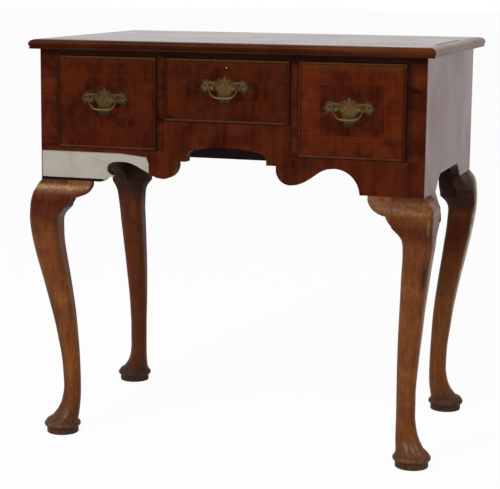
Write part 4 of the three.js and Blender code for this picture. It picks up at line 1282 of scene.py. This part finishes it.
def drawer_walnut(name, settings, drawer, move, tone, middle_tone):
    """A drawer front's veneers: a crossband, a feather band of slanted strips, and a figured middle.

    The nearest edge gives the distance that parts the bands, and which way the crossband's grain runs.
    """
    finish = Finish(name, roughness=0.3, ior=1.13)
    low, high = (corner / METRE for corner in box_mm(drawer + "_front"))
    middle = (low + high) / 2
    half = (high - low) / 2 - settings.shape.bead_width
    x, _, z = finish.parts()
    off_x, off_z = finish.less(x, middle[0]), finish.less(z, middle[2])
    from_side = finish.less(half[0], finish.away(off_x))
    from_end = finish.less(half[2], finish.away(off_z))
    inset = finish.least(from_side, from_end)
    between = (CROSSBAND_END + FEATHER_END) / 2
    band_tone = tinted(tone, 1.12)
    band_choices = {"contrast": 0.7, "move": move, "line_scale": 110.0}
    along_x, height_x, _ = walnut_colour(finish, "x", band_tone, **band_choices)
    along_z, _, _ = walnut_colour(finish, "z", band_tone, **band_choices)
    band = finish.mix(finish.below(from_side, from_end), along_z, along_x)
    slants = {0: finish.below(inset, between), 2: finish.plus(off_x, off_z), 3: finish.less(off_x, off_z)}
    lean = finish.add("ShaderNodeMix", slants, data_type="FLOAT").outputs[0]
    strips = finish.level(finish.math("SINE", finish.times(lean, 2100.0)), -1, 1)
    feathered = finish.tones(strips, tone, [(0.2, (0.75, 0.6, 0.5)), (0.8, (1.5, 1.6, 1.3))])
    figure, height_middle, clouds = walnut_colour(
        finish, "z", middle_tone, contrast=1.15, move=move, line_scale=46.0, cloud_scale=30.0, waviness=1.8
    )
    past_cross = finish.math("GREATER_THAN", inset, CROSSBAND_END)
    colour = finish.mix(past_cross, band, finish.mix(0.45, band, feathered))
    colour = finish.mix(finish.math("GREATER_THAN", inset, FEATHER_END), colour, figure)
    blotch = finish.noise(
        finish.stretched((1, 1, 0.8), move=move), scale=26.0, detail=3.0, roughness=0.6, distortion=1.0
    )
    colour = finish.mix(finish.level(blotch, 0.5, 0.64, 0, 0.62), colour, tinted(tone, (1.65, 1.75, 1.1)))
    colour = finish.mix(finish.level(blotch, 0.48, 0.34, 0, 0.7), colour, tinted(tone, (0.5, 0.38, 0.7)))
    seams = [finish.seam(inset, place, half_width=0.00035) for place in (CROSSBAND_END, FEATHER_END, between)]
    dark = finish.most(finish.most(seams[0], seams[1]), finish.times(seams[2], 0.4))
    colour = finish.mix(finish.times(dark, 0.6), colour, tinted(tone, 0.3))
    under = finish.less(half[2], off_z)
    rubbed = finish.level(under, 0.0, 0.011, 0.75 if drawer == "drawer_right" else 0.4, 0.0)
    colour = finish.mix(rubbed, colour, tinted(tone, (1.25, 2.6, 3.2)))
    # Painted shade along the drawer front's right edge, beside the bead
    beside = finish.level(finish.less(half[0], off_x), 0.0, 0.004, 0.6, 0.0)
    colour = finish.mix(beside, colour, DRAWER_EDGE_SHADE)
    finish.relief(finish.less(finish.plus(height_x, height_middle), dark), distance=0.0001, strength=0.3)
    return finish.done(veneer_over_oak(finish, colour, settings), finish.spread(clouds, 0.28, 0.44))


def leg_walnut(name, settings, highlight_tone=FRONT_LEG_HIGHLIGHT):
    """Legs: grain up the leg, golden mottle where the polish is worn, painted highlights, and dark with
    gathered soil and with painted shade.
    """
    finish = Finish(name, roughness=0.34, ior=1.19)
    tone, gold_tone = settings.woods.leg, settings.woods.worn
    colour, height, clouds = walnut_colour(
        finish, "z", tone, contrast=0.75, line_scale=170.0, cloud_scale=22.0, waviness=0.8
    )
    # Deep red under the knees and over the back legs: the wood's own red and painted shade
    deep, _, _ = walnut_colour(finish, "z", DEEP_RED_AND_SHADE, contrast=1.1, line_scale=120.0, cloud_scale=34.0)
    colour = finish.mix(finish.attribute("depth"), deep, colour)
    grime = finish.attribute("grime")
    mottle = finish.noise(
        finish.stretched((1, 1, 0.7)), scale=120.0, detail=6.0, roughness=0.68, distortion=1.6
    )
    gold = finish.ramp(
        mottle,
        [
            (0.36, tinted(tone, (0.42, 0.32, 0.3))),
            (0.47, tinted(gold_tone, 0.68)),
            (0.58, gold_tone),
            (0.72, tinted(gold_tone, (1.5, 1.4, 1.35))),
        ],
    )
    patches = finish.noise(
        finish.stretched((1, 1, 0.8), move=(0.3, 0, 0)), scale=62.0, detail=4.0, roughness=0.6, distortion=0.8
    )
    uneven = finish.plus(finish.times(mottle, 0.6), finish.times(patches, 1.5))
    colour = finish.mix(finish.level(finish.plus(finish.attribute("worn"), uneven), 1.25, 2.05), colour, gold)
    # The pale line is a painted highlight, made patchy
    rubbed = finish.times(finish.attribute("line"), finish.level(patches, 0.4, 0.58, 0.5, 1.0))
    rubbed = finish.times(rubbed, finish.level(mottle, 0.3, 0.6, 0.55, 1.0))
    colour = finish.mix(rubbed, colour, highlight_tone)
    # Dirt and painted shade darken the leg
    darkening = finish.times(grime, finish.level(clouds, 0.2, 0.55, 0.7, 1.0))
    colour = finish.mix(finish.times(darkening, 0.96), colour, LEG_GRIME_AND_SHADE)
    _, _, z = finish.parts()
    colour = finish.mix(finish.level(z, 0.02, 0.055, 0.25, 0.0), colour, FOOT_DUST)
    flecks = finish.noise(
        finish.stretched((1, 1, 0.35), move=(0.7, 0.2, 0)),
        scale=300.0, detail=3.0, roughness=0.6, distortion=0.4,
    )
    flecks = finish.times(finish.level(flecks, 0.5, 0.7), finish.level(z, 0.22, 0.4, 0.25, 0.6))
    colour = finish.mix(flecks, colour, LEG_FLECKS)
    stains = finish.noise(
        finish.stretched((1, 1, 0.7), move=(0.1, 0.5, 0.2)),
        scale=85.0, detail=4.0, roughness=0.65, distortion=1.2,
    )
    stains = finish.level(stains, 0.48, 0.6, 0, 0.45)
    colour = finish.mix(finish.times(stains, finish.level(z, 0.03, 0.075, 1, 0)), colour, FOOT_STAINS)
    scratches = finish.noise(finish.stretched((1, 1, 0.15), turn=(0, 0.5, 0.3)), scale=260.0, detail=2.0)
    nicks = finish.level(scratches, 0.68, 0.74)
    colour = finish.mix(finish.times(nicks, 0.5), colour, tinted(tone, 0.35))
    finish.relief(finish.less(height, nicks), distance=0.00018, strength=0.4)
    return finish.done(colour, finish.plus(finish.spread(clouds, 0.3, 0.46), finish.times(grime, 0.35)))


def rough_walnut(name):
    """The posts inside the case: sawn, unpolished and dark with age."""
    finish = Finish(name, roughness=0.9, ior=1.02)
    colour, height, clouds = walnut_colour(finish, "z", SAWN_WALNUT, contrast=0.8, line_scale=120.0)
    finish.relief(height, distance=0.0003, strength=0.6)
    return finish.done(colour, finish.spread(clouds, 0.82, 0.95))


def moulding_walnut(name, settings, grain, tint):
    """The top's moulding. The front's has painted light: lighter to the right, painted shade below its round,
    and a painted grey sheen on the strip under it.
    """
    along_front = grain == "x"
    finish = Finish(name, roughness=0.22, ior=1.08 if along_front else 1.12)
    tone = tinted(settings.woods.top, tint)
    colour, height, clouds = walnut_colour(finish, grain, tone, contrast=0.7, line_scale=80.0)
    if along_front:
        x, _, z = finish.parts()
        along = finish.level(x, -half_width / METRE, half_width / METRE)
        # Painted light along the front moulding: the upper round lighter than the part below it, and both
        # lighter to the right
        upper, lower = (
            finish.ramp(along, list(zip((0, 0.55, 1), shades)))
            for shades in (
                ((0.95, 1, 1, 1), (1, 1.05, 1.15, 1), (1.5, 1.9, 1.5, 1)),
                ((0.62, 0.5, 0.5, 1), (0.55, 0.5, 0.5, 1), (1.2, 1.15, 1.05, 1)),
            )
        )
        shades = finish.mix(finish.level(z, (case_top + 6.5) / METRE, (case_top + 8.5) / METRE), lower, upper)
        # Painted sheen on the strip under the moulding: greyer and darker than the wood
        strip = finish.level(z, (case_top - 0.1) / METRE, (case_top + 0.2) / METRE)
        shades = finish.mix(strip, (0.55, 0.75, 1.15, 1.0), shades)
        colour = finish.mix(1.0, colour, shades, "MULTIPLY")
    finish.relief(height, distance=0.00012, strength=0.3)
    return finish.done(colour, finish.spread(clouds, 0.2, 0.27))


def top_walnut(name, settings):
    """The top's board: walnut with a cross grained band round it, whose joint has opened at the right."""
    finish = Finish(name, roughness=0.22, ior=1.4)
    tone = settings.woods.top
    colour, height, clouds = walnut_colour(finish, "x", tone, contrast=0.7, line_scale=80.0)
    low, high = (corner / METRE for corner in box_mm("top_board"))
    x, y, _ = finish.parts()
    wander = finish.times(finish.less(finish.noise(finish.place, scale=9.0, detail=3.0), 0.5), 0.004)
    from_side = finish.less(high[0], finish.away(x))
    from_edge = finish.least(finish.less(y, low[1]), finish.less(high[1], y))
    inset = finish.least(from_side, from_edge)
    across, _, _ = walnut_colour(finish, "x", tinted(tone, 1.15), contrast=0.6, line_scale=100.0)
    endways, _, _ = walnut_colour(finish, "y", tinted(tone, 1.15), contrast=0.6, line_scale=100.0)
    band = finish.mix(finish.below(from_side, from_edge), endways, across)
    colour = finish.mix(finish.below(inset, TOP_BAND), colour, band)
    crack = finish.level(finish.plus(x, wander), high[0] - 0.0052, high[0] - 0.0042)
    split = finish.times(crack, finish.level(finish.away(y, -0.015), 0.09, 0.115, 1.0, 0.0))
    gap = finish.most(finish.times(finish.seam(inset, TOP_BAND, half_width=0.0005), 0.6), split)
    colour = finish.mix(gap, colour, OPEN_JOINT)
    finish.relief(finish.less(height, finish.times(gap, 3.0)), distance=0.00012, strength=0.3)
    return finish.done(colour, finish.plus(finish.spread(clouds, 0.2, 0.27), finish.times(split, 0.7)))


def side_walnut(name, settings):
    """Ends of the case: quiet upright grain under a dull polish.

    The bare wood behind the face is dark and has no gloss, which a metal of its own dark colour gives: partly
    its own aged colour, partly painted shade for the recesses where it shows.
    """
    finish = Finish(name, roughness=0.34, ior=1.5)
    colour, height, clouds = walnut_colour(
        finish, "z", settings.woods.side, contrast=0.5, line_scale=60.0, cloud_scale=7.0
    )
    x, _, _ = finish.parts()
    # No gloss on the bare core behind the face, so it stays dark: its own colour and painted shade
    behind = finish.level(finish.away(x), (half_width - 1.6) / METRE, (half_width - 0.8) / METRE, 1.0, 0.0)
    finish.give(finish.shader.inputs["Metallic"], behind)
    finish.relief(height, distance=0.0001, strength=0.3)
    return finish.done(finish.mix(behind, colour, PANEL_CORE_SHADE), finish.spread(clouds, 0.3, 0.42))


def bare_ground(name, settings):
    """Bare board: pale and dry, with faint smudges, saw lines and a dark line at its lower edge, partly glue
    and partly painted shadow where it meets the leg.
    """
    finish = Finish(name, roughness=0.85, ior=1.2)
    tone = settings.woods.ground
    smudge = finish.noise(
        finish.stretched((0.7, 1, 1)), scale=38.0, detail=5.0, roughness=0.6, distortion=0.6
    )
    lines = finish.noise(finish.stretched((0.04, 1, 1)), scale=420.0, detail=3.0)
    colour = finish.tones(smudge, tone, [(0.3, 0.84), (0.5, 1), (0.72, 1.06)])
    colour = finish.mix(finish.times(finish.level(lines, 0.5, 0.72), 0.14), colour, tinted(tone, 0.6))
    x, y, z = finish.parts()
    # Dark line at the lower edge: glue and painted shadow of the gap above the leg
    ragged = finish.times(finish.noise(finish.place, scale=140.0, detail=3.0), 0.0012)
    low_line = finish.below(finish.less(z, ragged), (leg_height + 4.6) / METRE)
    colour = finish.mix(finish.times(low_line, finish.below(x, -0.226)), colour, GLUE_AND_SHADOW)
    behind = finish.level(y, (front_y + 2.2) / METRE, (front_y + 4) / METRE)
    behind = finish.most(behind, finish.math("GREATER_THAN", x, -0.14))
    aged = finish.tones(smudge, settings.woods.oak, [(0.3, 0.25), (0.7, 0.5)])
    finish.relief(finish.plus(smudge, finish.times(lines, 0.5)), distance=0.0002, strength=0.4)
    return finish.done(finish.mix(behind, colour, aged), finish.spread(smudge, 0.78, 0.92))


def bead_walnut(name, settings):
    """Cock beads: pale on the crest, above and below most, as rubbed wood with a painted highlight, and dark
    with painted shade in the corners beside the front and on their side runs.
    """
    finish = Finish(name, roughness=0.36, ior=1.15)
    mottle = finish.noise(finish.place, scale=90.0, detail=5.0, roughness=0.65, distortion=0.5)
    colour = finish.tones(mottle, settings.woods.bead, [(0.3, 0.5), (0.5, 1), (0.7, 1.35)])
    crest = finish.level(finish.attribute("crest"), 0.2, 0.9)
    rub = finish.times(crest, finish.attribute("rub"))
    finish.relief(mottle, distance=0.0002, strength=0.35)
    # The bead turns to its painted shade where it is neither crest nor a pale run
    return finish.done(finish.mix(rub, tinted(BEAD_SHADE, 0.8), colour), finish.spread(mottle, 0.34, 0.5))


def handle_brass(name, tone):
    """Brass: dull olive tarnish in the hollows and brighter metal where hands rub it."""
    finish = Finish(name, roughness=0.42, ior=1.45, metallic=0.9)
    patina = finish.noise(finish.place, scale=330.0, detail=5.0, roughness=0.65, distortion=0.4)
    colour = finish.tones(patina, tone, [(0.3, 0.6), (0.5, 1), (0.7, 1.3)])
    dull = finish.level(finish.plus(finish.attribute("tarnish"), finish.times(patina, 0.35)), 0.35, 1.05)
    colour = finish.mix(finish.times(dull, 0.85), colour, TARNISH)
    finish.relief(patina, distance=0.00015, strength=0.5)
    return finish.done(colour, finish.level(dull, 0, 1, 0.42, 0.66))


def oak_inside(name, settings, grain, shaded_within=False):
    """Oak of the inside: straight grain with short dark pores.

    Where asked, the board's inner face is nearly black with painted shade, and its outer face is darkened
    with age.
    """
    finish = Finish(name, roughness=0.72, ior=1.1 if shaded_within else 1.4)
    tone = settings.woods.oak
    clouds, lines, pores = grain_parts(finish, grain, line_scale=130.0, cloud_scale=8.0, waviness=0.2)
    colour = finish.tones(lines, tone, [(0.32, 0.55), (0.5, 0.85), (0.68, 1.15)])
    holes = finish.level(pores, 0.57, 0.66)
    colour = finish.mix(finish.times(holes, 0.55), colour, tinted(tone, 0.25))
    colour = finish.mix(finish.level(clouds, 0.45, 0.75, 0, 0.35), colour, tinted(tone, 0.4))
    # Painted shade on the back board's inner face, nearly black; its outer face is darkened with age
    if shaded_within:
        _, y, _ = finish.parts()
        behind = finish.level(y, (back_y - 4) / METRE, (back_y - 2) / METRE)
        inner = finish.mix(1.0, colour, (0.14, 0.155, 0.42, 1.0), "MULTIPLY")
        outer = finish.mix(1.0, colour, (0.45, 0.42, 0.46, 1.0), "MULTIPLY")
        colour = finish.mix(behind, inner, outer)
    finish.relief(finish.less(finish.times(lines, 0.5), holes), distance=0.0002, strength=0.5)
    return finish.done(colour, finish.spread(lines, 0.62, 0.82))


def lock_iron(name, settings):
    """Iron of the lock: file marks and brown specks."""
    finish = Finish(name, roughness=0.5, ior=1.5, metallic=0.85)
    marks = finish.noise(finish.stretched((0.05, 1, 1)), scale=900.0, detail=3.0)
    specks = finish.noise(finish.place, scale=300.0, detail=5.0, roughness=0.7)
    colour = finish.tones(marks, settings.metals.iron, [(0.3, 0.7), (0.7, 1.3)])
    colour = finish.mix(finish.level(specks, 0.5, 0.68, 0, 0.8), colour, RUST)
    finish.relief(finish.plus(marks, specks), distance=0.0001, strength=0.5)
    return finish.done(colour, finish.level(specks, 0.4, 0.7, 0.42, 0.75))


def dress(node, finish):
    """Gives a node of the frame its finish."""
    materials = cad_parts[node].data.materials
    materials.clear()
    materials.append(finish)


# Stage

CAMERA_PLACE = (0.86474, -2.81087, 0.83392)
CAMERA_YAW, CAMERA_PITCH, CAMERA_ROLL = 0.3232, 0.1711, 0.0075
CAMERA_LENS = 115.98
CAMERA_SHIFT = (0.0534, 0.0055)


def seen_directly(tree):
    """One on rays from the camera and on mirrored or passing rays, nought on rays that light the object."""
    path = tree.add("ShaderNodeLightPath").outputs
    either = tree.most(path["Is Camera Ray"], path["Is Glossy Ray"])
    return tree.most(either, path["Is Transmission Ray"])


def mixed_shader(tree, share, first, second, out):
    """Two shaders mixed by a share, and the output that they go to."""
    both = tree.add("ShaderNodeMixShader", {0: share, 1: first.outputs[0], 2: second.outputs[0]})
    tree.add(out, {"Surface": both.outputs[0]})


def make_floor(settings):
    """A round floor of rings and spokes; seen directly it is near white and keeps its shadows."""
    spokes = 64
    turn = around(spokes)
    radius = np.array([0.02, 0.5, 1, 2, 4, 8, 16, 32])[:, None] * METRE
    flat = np.zeros((len(radius), spokes))
    skin = skin_over(np.stack([radius * np.cos(turn), radius * np.sin(turn), flat], -1), caps=False)
    skin.faces.append(np.arange(spokes)[None, :])
    floor = linked_object("floor", skin)
    material = bpy.data.materials.new("floor_paper")
    tree = Nodes(material)
    tree.nodes.clear()
    diffuse = tree.add("ShaderNodeBsdfDiffuse", {"Color": settings.stage.floor})
    glow = tree.add("ShaderNodeEmission", {"Color": WHITE})
    share = tree.times(seen_directly(tree), 0.95)
    mixed_shader(tree, share, diffuse, glow, "ShaderNodeOutputMaterial")
    floor.data.materials.append(material)


def make_flag():
    """A dark cloth on the photographer's side, bowed round the table. Only reflections see it."""
    reach, height = 4.6 * METRE, 1.9 * METRE
    bow = np.linspace(-1.05, 1.05, 25)[None, :]
    z = np.array([[0.0], [height]]) + 0 * bow
    rows = np.stack([reach * np.sin(bow) + 0 * z, -reach * np.cos(bow) + 0 * z, z], -1)
    cloth = linked_object("dark_cloth", skin_over(rows, caps=False, closed=False))
    cloth.visible_camera = False
    cloth.visible_diffuse = False
    cloth.visible_shadow = False
    cloth.data.materials.append(Finish("dark_cloth", roughness=0.95, ior=1.2).done(DARK_CLOTH, 0.95))


def make_light(settings):
    """Even light from all round, a broad lamp above the front and a softer one on the right."""
    world = bpy.data.worlds.new("studio")
    bpy.context.scene.world = world
    tree = Nodes(world)
    tree.nodes.clear()
    dome = tree.add("ShaderNodeBackground", {"Color": WHITE, "Strength": settings.stage.dome})
    white = tree.add("ShaderNodeBackground", {"Color": WHITE, "Strength": 1.0})
    mixed_shader(tree, seen_directly(tree), dome, white, "ShaderNodeOutputWorld")
    add_lamp("key_lamp", (-1.1, -2.55, 2.5), size=1.2, power=settings.stage.key)
    add_lamp("side_lamp", (2.4, -0.4, 1.9), size=1.6, power=settings.stage.side)


def add_lamp(name, place, size, power):
    """A square lamp that faces the middle of the table."""
    lamp = bpy.data.lights.new(name, "AREA")
    lamp.shape = "SQUARE"
    lamp.size = size
    lamp.energy = power
    holder = bpy.data.objects.new(name, lamp)
    bpy.context.scene.collection.objects.link(holder)
    holder.location = place
    aim = Vector((0, 0, 0.4)) - Vector(place)
    holder.rotation_euler = aim.to_track_quat("-Z", "Y").to_euler()


def make_camera():
    """The camera where the photographer stood: a long lens, a little above the top and to the right."""
    level = Vector((math.cos(CAMERA_YAW), math.sin(CAMERA_YAW), 0))
    ahead = Vector((-math.sin(CAMERA_YAW), math.cos(CAMERA_YAW), 0))
    forward = ahead * math.cos(CAMERA_PITCH) - Vector((0, 0, math.sin(CAMERA_PITCH)))
    upright = level.cross(forward)
    right = level * math.cos(CAMERA_ROLL) + upright * math.sin(CAMERA_ROLL)
    up = upright * math.cos(CAMERA_ROLL) - level * math.sin(CAMERA_ROLL)
    camera = bpy.data.cameras.new("camera")
    camera.lens = CAMERA_LENS
    camera.sensor_width = 36
    camera.shift_x, camera.shift_y = CAMERA_SHIFT
    camera.clip_end = 200
    holder = bpy.data.objects.new("camera", camera)
    bpy.context.scene.collection.objects.link(holder)
    matrix = Matrix((right, up, -forward)).transposed().to_4x4()
    matrix.translation = Vector(CAMERA_PLACE)
    holder.matrix_world = matrix
    bpy.context.scene.camera = holder


# Operators


class LOWBOY_OT_legs(bpy.types.Operator):
    """Carve the four cabriole legs"""

    bl_idname = "lowboy.legs"
    bl_label = "Legs"

    def execute(self, context):
        settings = context.scene.lowboy
        rows, steps = settings.shape.leg_rows, settings.shape.corner_steps
        front_finish = leg_walnut("leg_walnut", settings)
        back_finish = leg_walnut("back_leg_walnut", settings, BACK_LEG_HIGHLIGHT)
        rough = rough_walnut("post_walnut")
        for name, (side, back, lean) in LEGS.items():
            finish = back_finish if back else front_finish
            leg = leg_skin(name, side, back, lean, rows, steps)
            node = f"leg_{name}"
            make_piece(f"carved_{node}", [leg], "carcase", [node], finish)
            make_piece(f"post_of_{node}", [post_skin(side, back)], "carcase", (), rough)
        return {"FINISHED"}


class LOWBOY_OT_brackets(bpy.types.Operator):
    """Carve the six knee brackets"""

    bl_idname = "lowboy.brackets"
    bl_label = "Knee Brackets"

    def execute(self, context):
        finish = leg_walnut("bracket_walnut", context.scene.lowboy)
        for name, (side, back, _) in LEGS.items():
            for edge in ("side",) if back else ("apron", "side"):
                skin = bracket_skin(side, back, edge == "apron")
                node = f"knee_bracket_{name}_{edge}"
                make_piece(f"carved_{node}", [skin], "carcase", [node], finish)
        return {"FINISHED"}


class LOWBOY_OT_top(bpy.types.Operator):
    """Run the top's mouldings and finish the top"""

    bl_idname = "lowboy.top"
    bl_label = "Top"

    def execute(self, context):
        settings = context.scene.lowboy
        section = lip_section()
        low, high = box_mm("top_board")
        inset, z = section.T
        outer_x, outer_y = high[0] + LIP_WIDTH, low[1] - LIP_WIDTH
        corners = {side: np.stack([side * (outer_x - inset), outer_y + inset, z], 1) for side in (-1, 1)}
        along_front = moulding_walnut("moulding_walnut_front", settings, "x", (1.12, 1.15, 0.9))
        # The side mouldings are a much lighter copy of the front's walnut: a painted sheen
        side_moulding_lit = moulding_walnut("moulding_walnut_side_lit", settings, "y", (1.9, 1.8, 1.2))
        front = skin_over(
            lip_rings(section, corners[-1], corners[1], outward=np.array([0, -1.0, 0]), count=60)
        )
        make_piece("moulded_lip_front", [front], "carcase", ["top_lip_front"], along_front)
        for side, hand in ((-1, "left"), (1, "right")):
            end = np.stack([side * (outer_x - inset), np.full_like(inset, high[1]), z], 1)
            lip = skin_over(
                lip_rings(section, corners[side], end, outward=np.array([side * 1.0, 0, 0]), count=40)
            )
            node = f"top_lip_{hand}"
            make_piece(f"moulded_lip_{hand}", [lip], "carcase", [node], side_moulding_lit)
        dress("top_board", top_walnut("top_walnut", settings))
        return {"FINISHED"}


class LOWBOY_OT_beads(bpy.types.Operator):
    """Run the cock beads round the drawer fronts"""

    bl_idname = "lowboy.beads"
    bl_label = "Cock Beads"

    def execute(self, context):
        settings = context.scene.lowboy
        width = settings.shape.bead_width * METRE
        finish = bead_walnut("bead_walnut", settings)
        for drawer in DRAWERS:
            node = drawer + "_bead"
            low, high = box_mm(node)
            skin = bead_skin((low[0], high[0]), (low[2], high[2]), width, BEAD_RUB_AND_LIGHT[drawer])
            make_piece(f"{drawer}_cock_bead", [skin], drawer, [node], finish)
        return {"FINISHED"}


class LOWBOY_OT_handles(bpy.types.Operator):
    """Cast the pierced back plates, their posts and the bails"""

    bl_idname = "lowboy.handles"
    bl_label = "Handles"

    def execute(self, context):
        metals = context.scene.lowboy.metals
        bail_finish = handle_brass("bail_brass", tinted(metals.brass, (0.95, 0.88, 0.95)))
        plate = plate_skin(metals.relief)
        posts = [skin for side in (-1, 1) for skin in post_skins(side * POST_SPACING / 2)]
        pivot = np.array([0, -PLATE_THICKNESS - PIVOT_STAND_OFF, 0])
        # Each drawer's copy of the brass is a little lighter to the right: painted light and shade on the
        # plates
        for drawer, light in zip(DRAWERS, (0.78, 0.93, 1.0)):
            finish = handle_brass(f"{drawer}_brass", tinted(metals.brass, light))
            low, high = box_mm(drawer + "_handle")
            middle = np.array([(low[0] + high[0]) / 2, front_y, high[2] - PLATE_RISE])
            skins = [skin.moved(middle) for skin in (plate, *posts)]
            make_piece(
                f"{drawer}_batwing", skins, drawer, [drawer + "_handle"], finish, crease=40.0
            )
            bail = bail_skin().moved(middle + pivot)
            body, node = drawer.replace("drawer", "bail"), drawer + "_bail"
            make_piece(f"{drawer}_swing_bail", [bail], body, [node], bail_finish, crease=50.0)
        return {"FINISHED"}


class LOWBOY_OT_veneers(bpy.types.Operator):
    """Lay the veneers of the front and the ends"""

    bl_idname = "lowboy.veneers"
    bl_label = "Veneers"

    def execute(self, context):
        settings = context.scene.lowboy
        apron_figure = {"contrast": 1.15, "line_scale": 70.0, "cloud_scale": 24.0}
        stile_figure = {"contrast": 1.25, "line_scale": 52.0, "cloud_scale": 34.0}
        dress("apron_veneer", front_walnut("apron_walnut", settings, "z", **apron_figure))
        dress("apron_board", bare_ground("bare_ground", settings))
        # The top rail is darker and bluer than the front: painted shade under the top's overhang
        rail_shaded_tone = tinted(settings.woods.front, (0.5, 1.0, 1.8))
        dress("top_rail", front_walnut("rail_walnut_shaded", settings, "z", tone=rail_shaded_tone, contrast=0.8))
        for side, hand, shift in ((-1, "left", 0.37), (1, "right", 1.61)):
            name, move = f"stile_walnut_{hand}", (shift, 0, shift)
            # The stiles and dividers carry painted shadow under the top and beside the drawers
            stile = front_walnut(name, settings, "x", move, shadowed=True, **stile_figure)
            dress(f"corner_stile_{hand}", stile)
            dress(f"divider_{hand}", stile)
            ends = side_walnut(f"side_walnut_{hand}", settings)
            dress(f"side_panel_{hand}", ends)
            x = sorted((side * (half_width - 0.5), side * (half_width + END_VENEER)))
            y = (front_y + 0.02, front_y + front_thickness)
            sheet = softened_block(x, y, (leg_height, case_top), edge=0.05)
            make_piece(f"end_veneer_{hand}", [sheet], "carcase", (), ends)
        lights = ((0.83, 0.76), (0.77, 0.7), (1.18, 0.92))
        for drawer, shift, (light, middle_light) in zip(DRAWERS, (0.13, 0.71, 2.3), lights):
            tone, middle_tone = (tinted(settings.woods.drawer, by) for by in (light, middle_light))
            move = (shift, shift * 2, shift)
            walnut = drawer_walnut(f"{drawer}_walnut", settings, drawer, move, tone, middle_tone)
            dress(drawer + "_front", walnut)
        return {"FINISHED"}


class LOWBOY_OT_inside(bpy.types.Operator):
    """Finish the oak inside and the lock"""

    bl_idname = "lowboy.inside"
    bl_label = "Inside and Lock"

    def execute(self, context):
        settings = context.scene.lowboy
        along = oak_inside("oak_along", settings, "y")
        across = oak_inside("oak_across", settings, "x")
        dark = oak_inside("oak_back", settings, "x", shaded_within=True)
        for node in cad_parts:
            of_drawer = node.startswith("drawer")
            if node.startswith(("partition", "outer_runner", "inner_runner", "middle_runner", "kicker")):
                dress(node, along)
            elif of_drawer and node.endswith(("_side_left", "_side_right")):
                dress(node, along)
            elif of_drawer and node.endswith(("_back", "_bottom")):
                dress(node, across)
        dress("back_board", dark)
        iron = lock_iron("lock_iron", settings)
        dress("lock_case", iron)
        dress("lock_bolt", iron)
        # The pin's pale, untarnished brass is partly rubbed by the key and partly a painted glint
        brass = handle_brass("lock_pin_brass", PIN_BRASS_GLINT)
        make_piece("lock_pin", [lock_pin()], "drawer_middle", (), brass)
        return {"FINISHED"}


class LOWBOY_OT_stage(bpy.types.Operator):
    """Set the floor, the light and the camera"""

    bl_idname = "lowboy.stage"
    bl_label = "Stage"

    def execute(self, context):
        settings = context.scene.lowboy
        context.scene.view_settings.view_transform = "Standard"
        make_floor(settings)
        make_flag()
        make_light(settings)
        make_camera()
        return {"FINISHED"}


class LOWBOY_PT_panel(bpy.types.Panel):
    """The lowboy's pieces and settings"""

    bl_idname = "LOWBOY_PT_panel"
    bl_label = "Walnut Lowboy"
    bl_space_type = "VIEW_3D"
    bl_region_type = "UI"
    bl_category = "Lowboy"

    def draw(self, context):
        settings = context.scene.lowboy
        for operator in OPERATORS:
            self.layout.operator(operator.bl_idname)
        for group in (settings.woods, settings.metals, settings.shape, settings.stage):
            column = self.layout.column(align=True)
            for name in group.__annotations__:
                column.prop(group, name)


OPERATORS = (
    LOWBOY_OT_legs,
    LOWBOY_OT_brackets,
    LOWBOY_OT_top,
    LOWBOY_OT_beads,
    LOWBOY_OT_handles,
    LOWBOY_OT_veneers,
    LOWBOY_OT_inside,
    LOWBOY_OT_stage,
)
GROUPS = (LowboyWoods, LowboyMetals, LowboyShape, LowboyStage, LowboySettings)


def register():
    for each in (*GROUPS, *OPERATORS, LOWBOY_PT_panel):
        bpy.utils.register_class(each)
    bpy.types.Scene.lowboy = PointerProperty(type=LowboySettings)


def unregister():
    del bpy.types.Scene.lowboy
    for each in reversed((*GROUPS, *OPERATORS, LOWBOY_PT_panel)):
        bpy.utils.unregister_class(each)


def main():
    """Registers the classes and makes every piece."""
    register()
    bpy.ops.lowboy.legs()
    bpy.ops.lowboy.brackets()
    bpy.ops.lowboy.top()
    bpy.ops.lowboy.beads()
    bpy.ops.lowboy.handles()
    bpy.ops.lowboy.veneers()
    bpy.ops.lowboy.inside()
    bpy.ops.lowboy.stage()


if __name__ == "__main__":
    main()
